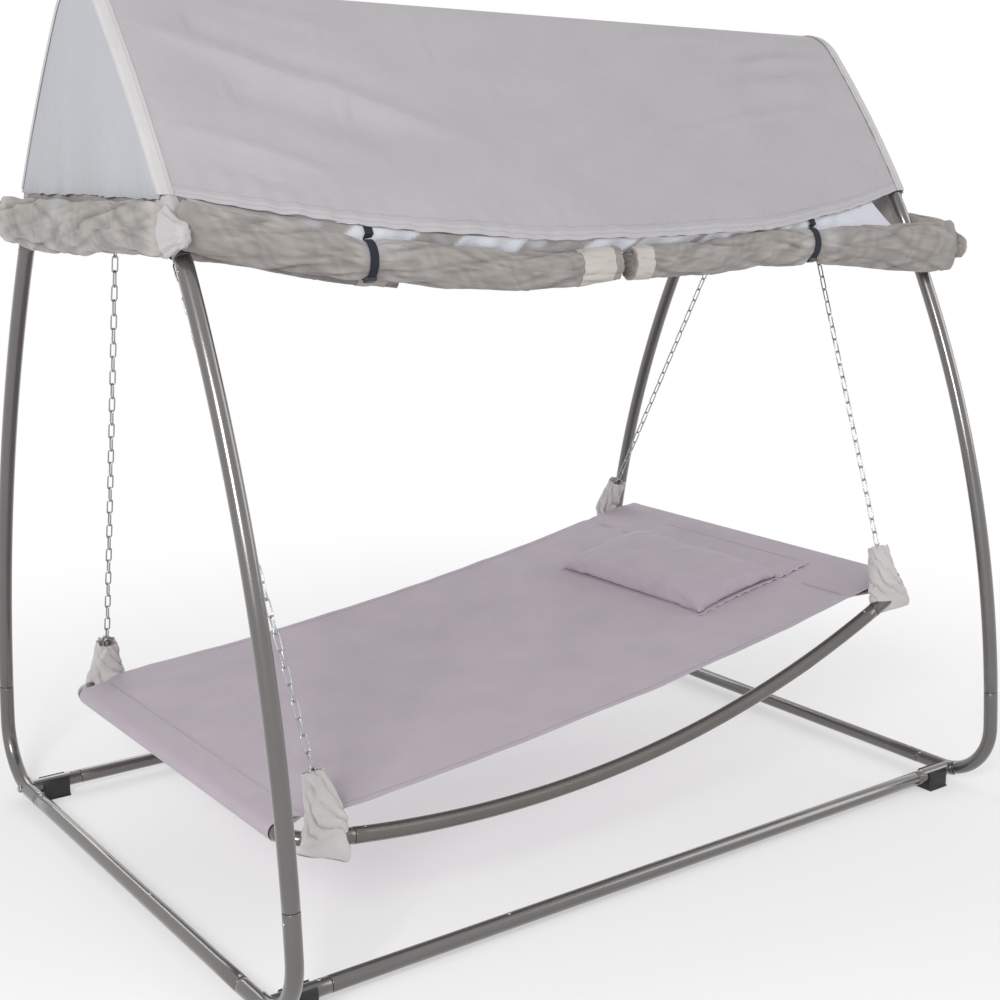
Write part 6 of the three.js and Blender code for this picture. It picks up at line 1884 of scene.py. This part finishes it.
class HAMMOCK_OT_stage(bpy.types.Operator):
    """Camera, lights and floor"""

    bl_idname = "hammock.stage"
    bl_label = "Stage"

    def execute(self, context):
        scene = context.scene
        stage = scene.hammock_stage
        camera = linked("photo_camera", bpy.data.cameras.new("photo_camera"))
        camera.data.lens = stage.lens
        camera.data.sensor_width = 36.0
        camera.data.clip_start = 0.05
        camera.data.clip_end = 100.0
        camera.location = (-2.407, -3.258, 1.720)
        yaw, pitch, roll = math.radians(36.47), math.radians(12.28), math.radians(-0.34)
        view = Vector((math.sin(yaw) * math.cos(pitch), math.cos(yaw) * math.cos(pitch), -math.sin(pitch)))
        camera.rotation_mode = "QUATERNION"
        camera.rotation_quaternion = Quaternion(view, roll) @ view.to_track_quat("-Z", "Y")
        scene.camera = camera
        scene.view_settings.view_transform = "Standard"
        self.floor()
        for name, place, power, size in (("key_light", (-4.4, -4.0, 3.4), stage.key_power, 1.6),
                                         ("fill_light", (4.5, -3.0, 3.2), stage.fill_power, 3.0),
                                         ("back_light", (0.5, 5.0, 4.2), stage.fill_power, 3.0)):
            lamp = linked(name, bpy.data.lights.new(name, "AREA"))
            lamp.data.energy = power
            lamp.data.size = size
            lamp.location = place
            lamp.rotation_euler = (Vector((0, 0, 1.0)) - Vector(place)).to_track_quat("-Z", "Y").to_euler()
        self.world(scene, stage.sky)
        return {"FINISHED"}

    def floor(self):
        """Pale floor that fades to white with distance."""
        half = 30.0
        floor = Skin()
        floor.grid(np.array([[(x, y, -0.0005) for y in (-half, half)] for x in (-half, half)]))
        material, tree, shader, place = new_material("studio_floor", "Object")
        fill(tree, shader,
             {"Base Color": (0.90, 0.90, 0.90, 1.0), "Roughness": 0.9, "Specular IOR Level": 0.0})
        reach = node(tree, "ShaderNodeVectorMath", {0: place}, operation="LENGTH")
        fade = node(tree, "ShaderNodeMapRange",
                    {"Value": reach.outputs["Value"], "From Min": 1.3, "From Max": 3.4, "To Min": 0.4},
                    interpolation_type="SMOOTHSTEP")
        glow = node(tree, "ShaderNodeEmission")
        blend = node(tree, "ShaderNodeMixShader",
                     {0: fade.outputs[0], 1: shader.outputs[0], 2: glow.outputs[0]})
        fill(tree, tree.nodes["Material Output"], {"Surface": blend.outputs[0]})
        floor.build("studio_floor", material, face_out=False)

    def world(self, scene, sky):
        """White where it is seen, and an even light of its own strength elsewhere."""
        world = bpy.data.worlds.new("studio")
        scene.world = world
        world.use_nodes = True
        tree = world.node_tree
        paths = node(tree, "ShaderNodeLightPath").outputs
        seen = math_node(tree, "MAXIMUM", paths["Is Camera Ray"], paths["Is Transmission Ray"])
        seen = math_node(tree, "MAXIMUM", seen, paths["Is Glossy Ray"])
        strength = node(tree, "ShaderNodeMix", {"Factor": seen, 2: sky, 3: 1.0})
        fill(tree, tree.nodes["Background"], {"Color": (1.0, 1.0, 1.0, 1.0), "Strength": strength.outputs[0]})


class HAMMOCK_PT_builder(bpy.types.Panel):
    """Lists the builders in the order in which they run"""

    bl_label = "Canopy hammock"
    bl_idname = "HAMMOCK_PT_builder"
    bl_space_type = "VIEW_3D"
    bl_region_type = "UI"
    bl_category = "Hammock"

    def draw(self, context):
        scene = context.scene
        for group in (scene.hammock_sizes, scene.hammock_colours, scene.hammock_stage):
            box = self.layout.box()
            for label in group.bl_rna.properties.keys():
                if label not in ("name", "rna_type"):
                    box.prop(group, label)
        for builder in BUILDERS:
            self.layout.operator(builder.bl_idname)


BUILDERS = (HAMMOCK_OT_stage, HAMMOCK_OT_stand, HAMMOCK_OT_connectors, HAMMOCK_OT_hangers, HAMMOCK_OT_chains,
            HAMMOCK_OT_bed_frame, HAMMOCK_OT_covers, HAMMOCK_OT_bed_cloth, HAMMOCK_OT_pillow, HAMMOCK_OT_roof,
            HAMMOCK_OT_nets)
SETTINGS = (HammockSizes, HammockColours, HammockStage)


def register():
    for kind in SETTINGS + BUILDERS + (HAMMOCK_PT_builder,):
        bpy.utils.register_class(kind)
    bpy.types.Scene.hammock_sizes = PointerProperty(type=HammockSizes)
    bpy.types.Scene.hammock_colours = PointerProperty(type=HammockColours)
    bpy.types.Scene.hammock_stage = PointerProperty(type=HammockStage)


def unregister():
    del bpy.types.Scene.hammock_stage
    del bpy.types.Scene.hammock_colours
    del bpy.types.Scene.hammock_sizes
    for kind in reversed(SETTINGS + BUILDERS + (HAMMOCK_PT_builder,)):
        bpy.utils.unregister_class(kind)


def main():
    register()
    bpy.ops.hammock.stage()
    bpy.ops.hammock.stand()
    bpy.ops.hammock.connectors()
    bpy.ops.hammock.hangers()
    bpy.ops.hammock.chains()
    bpy.ops.hammock.bed_frame()
    bpy.ops.hammock.covers()
    bpy.ops.hammock.bed_cloth()
    bpy.ops.hammock.pillow()
    bpy.ops.hammock.roof()
    bpy.ops.hammock.nets()


if __name__ == "__main__":
    main()
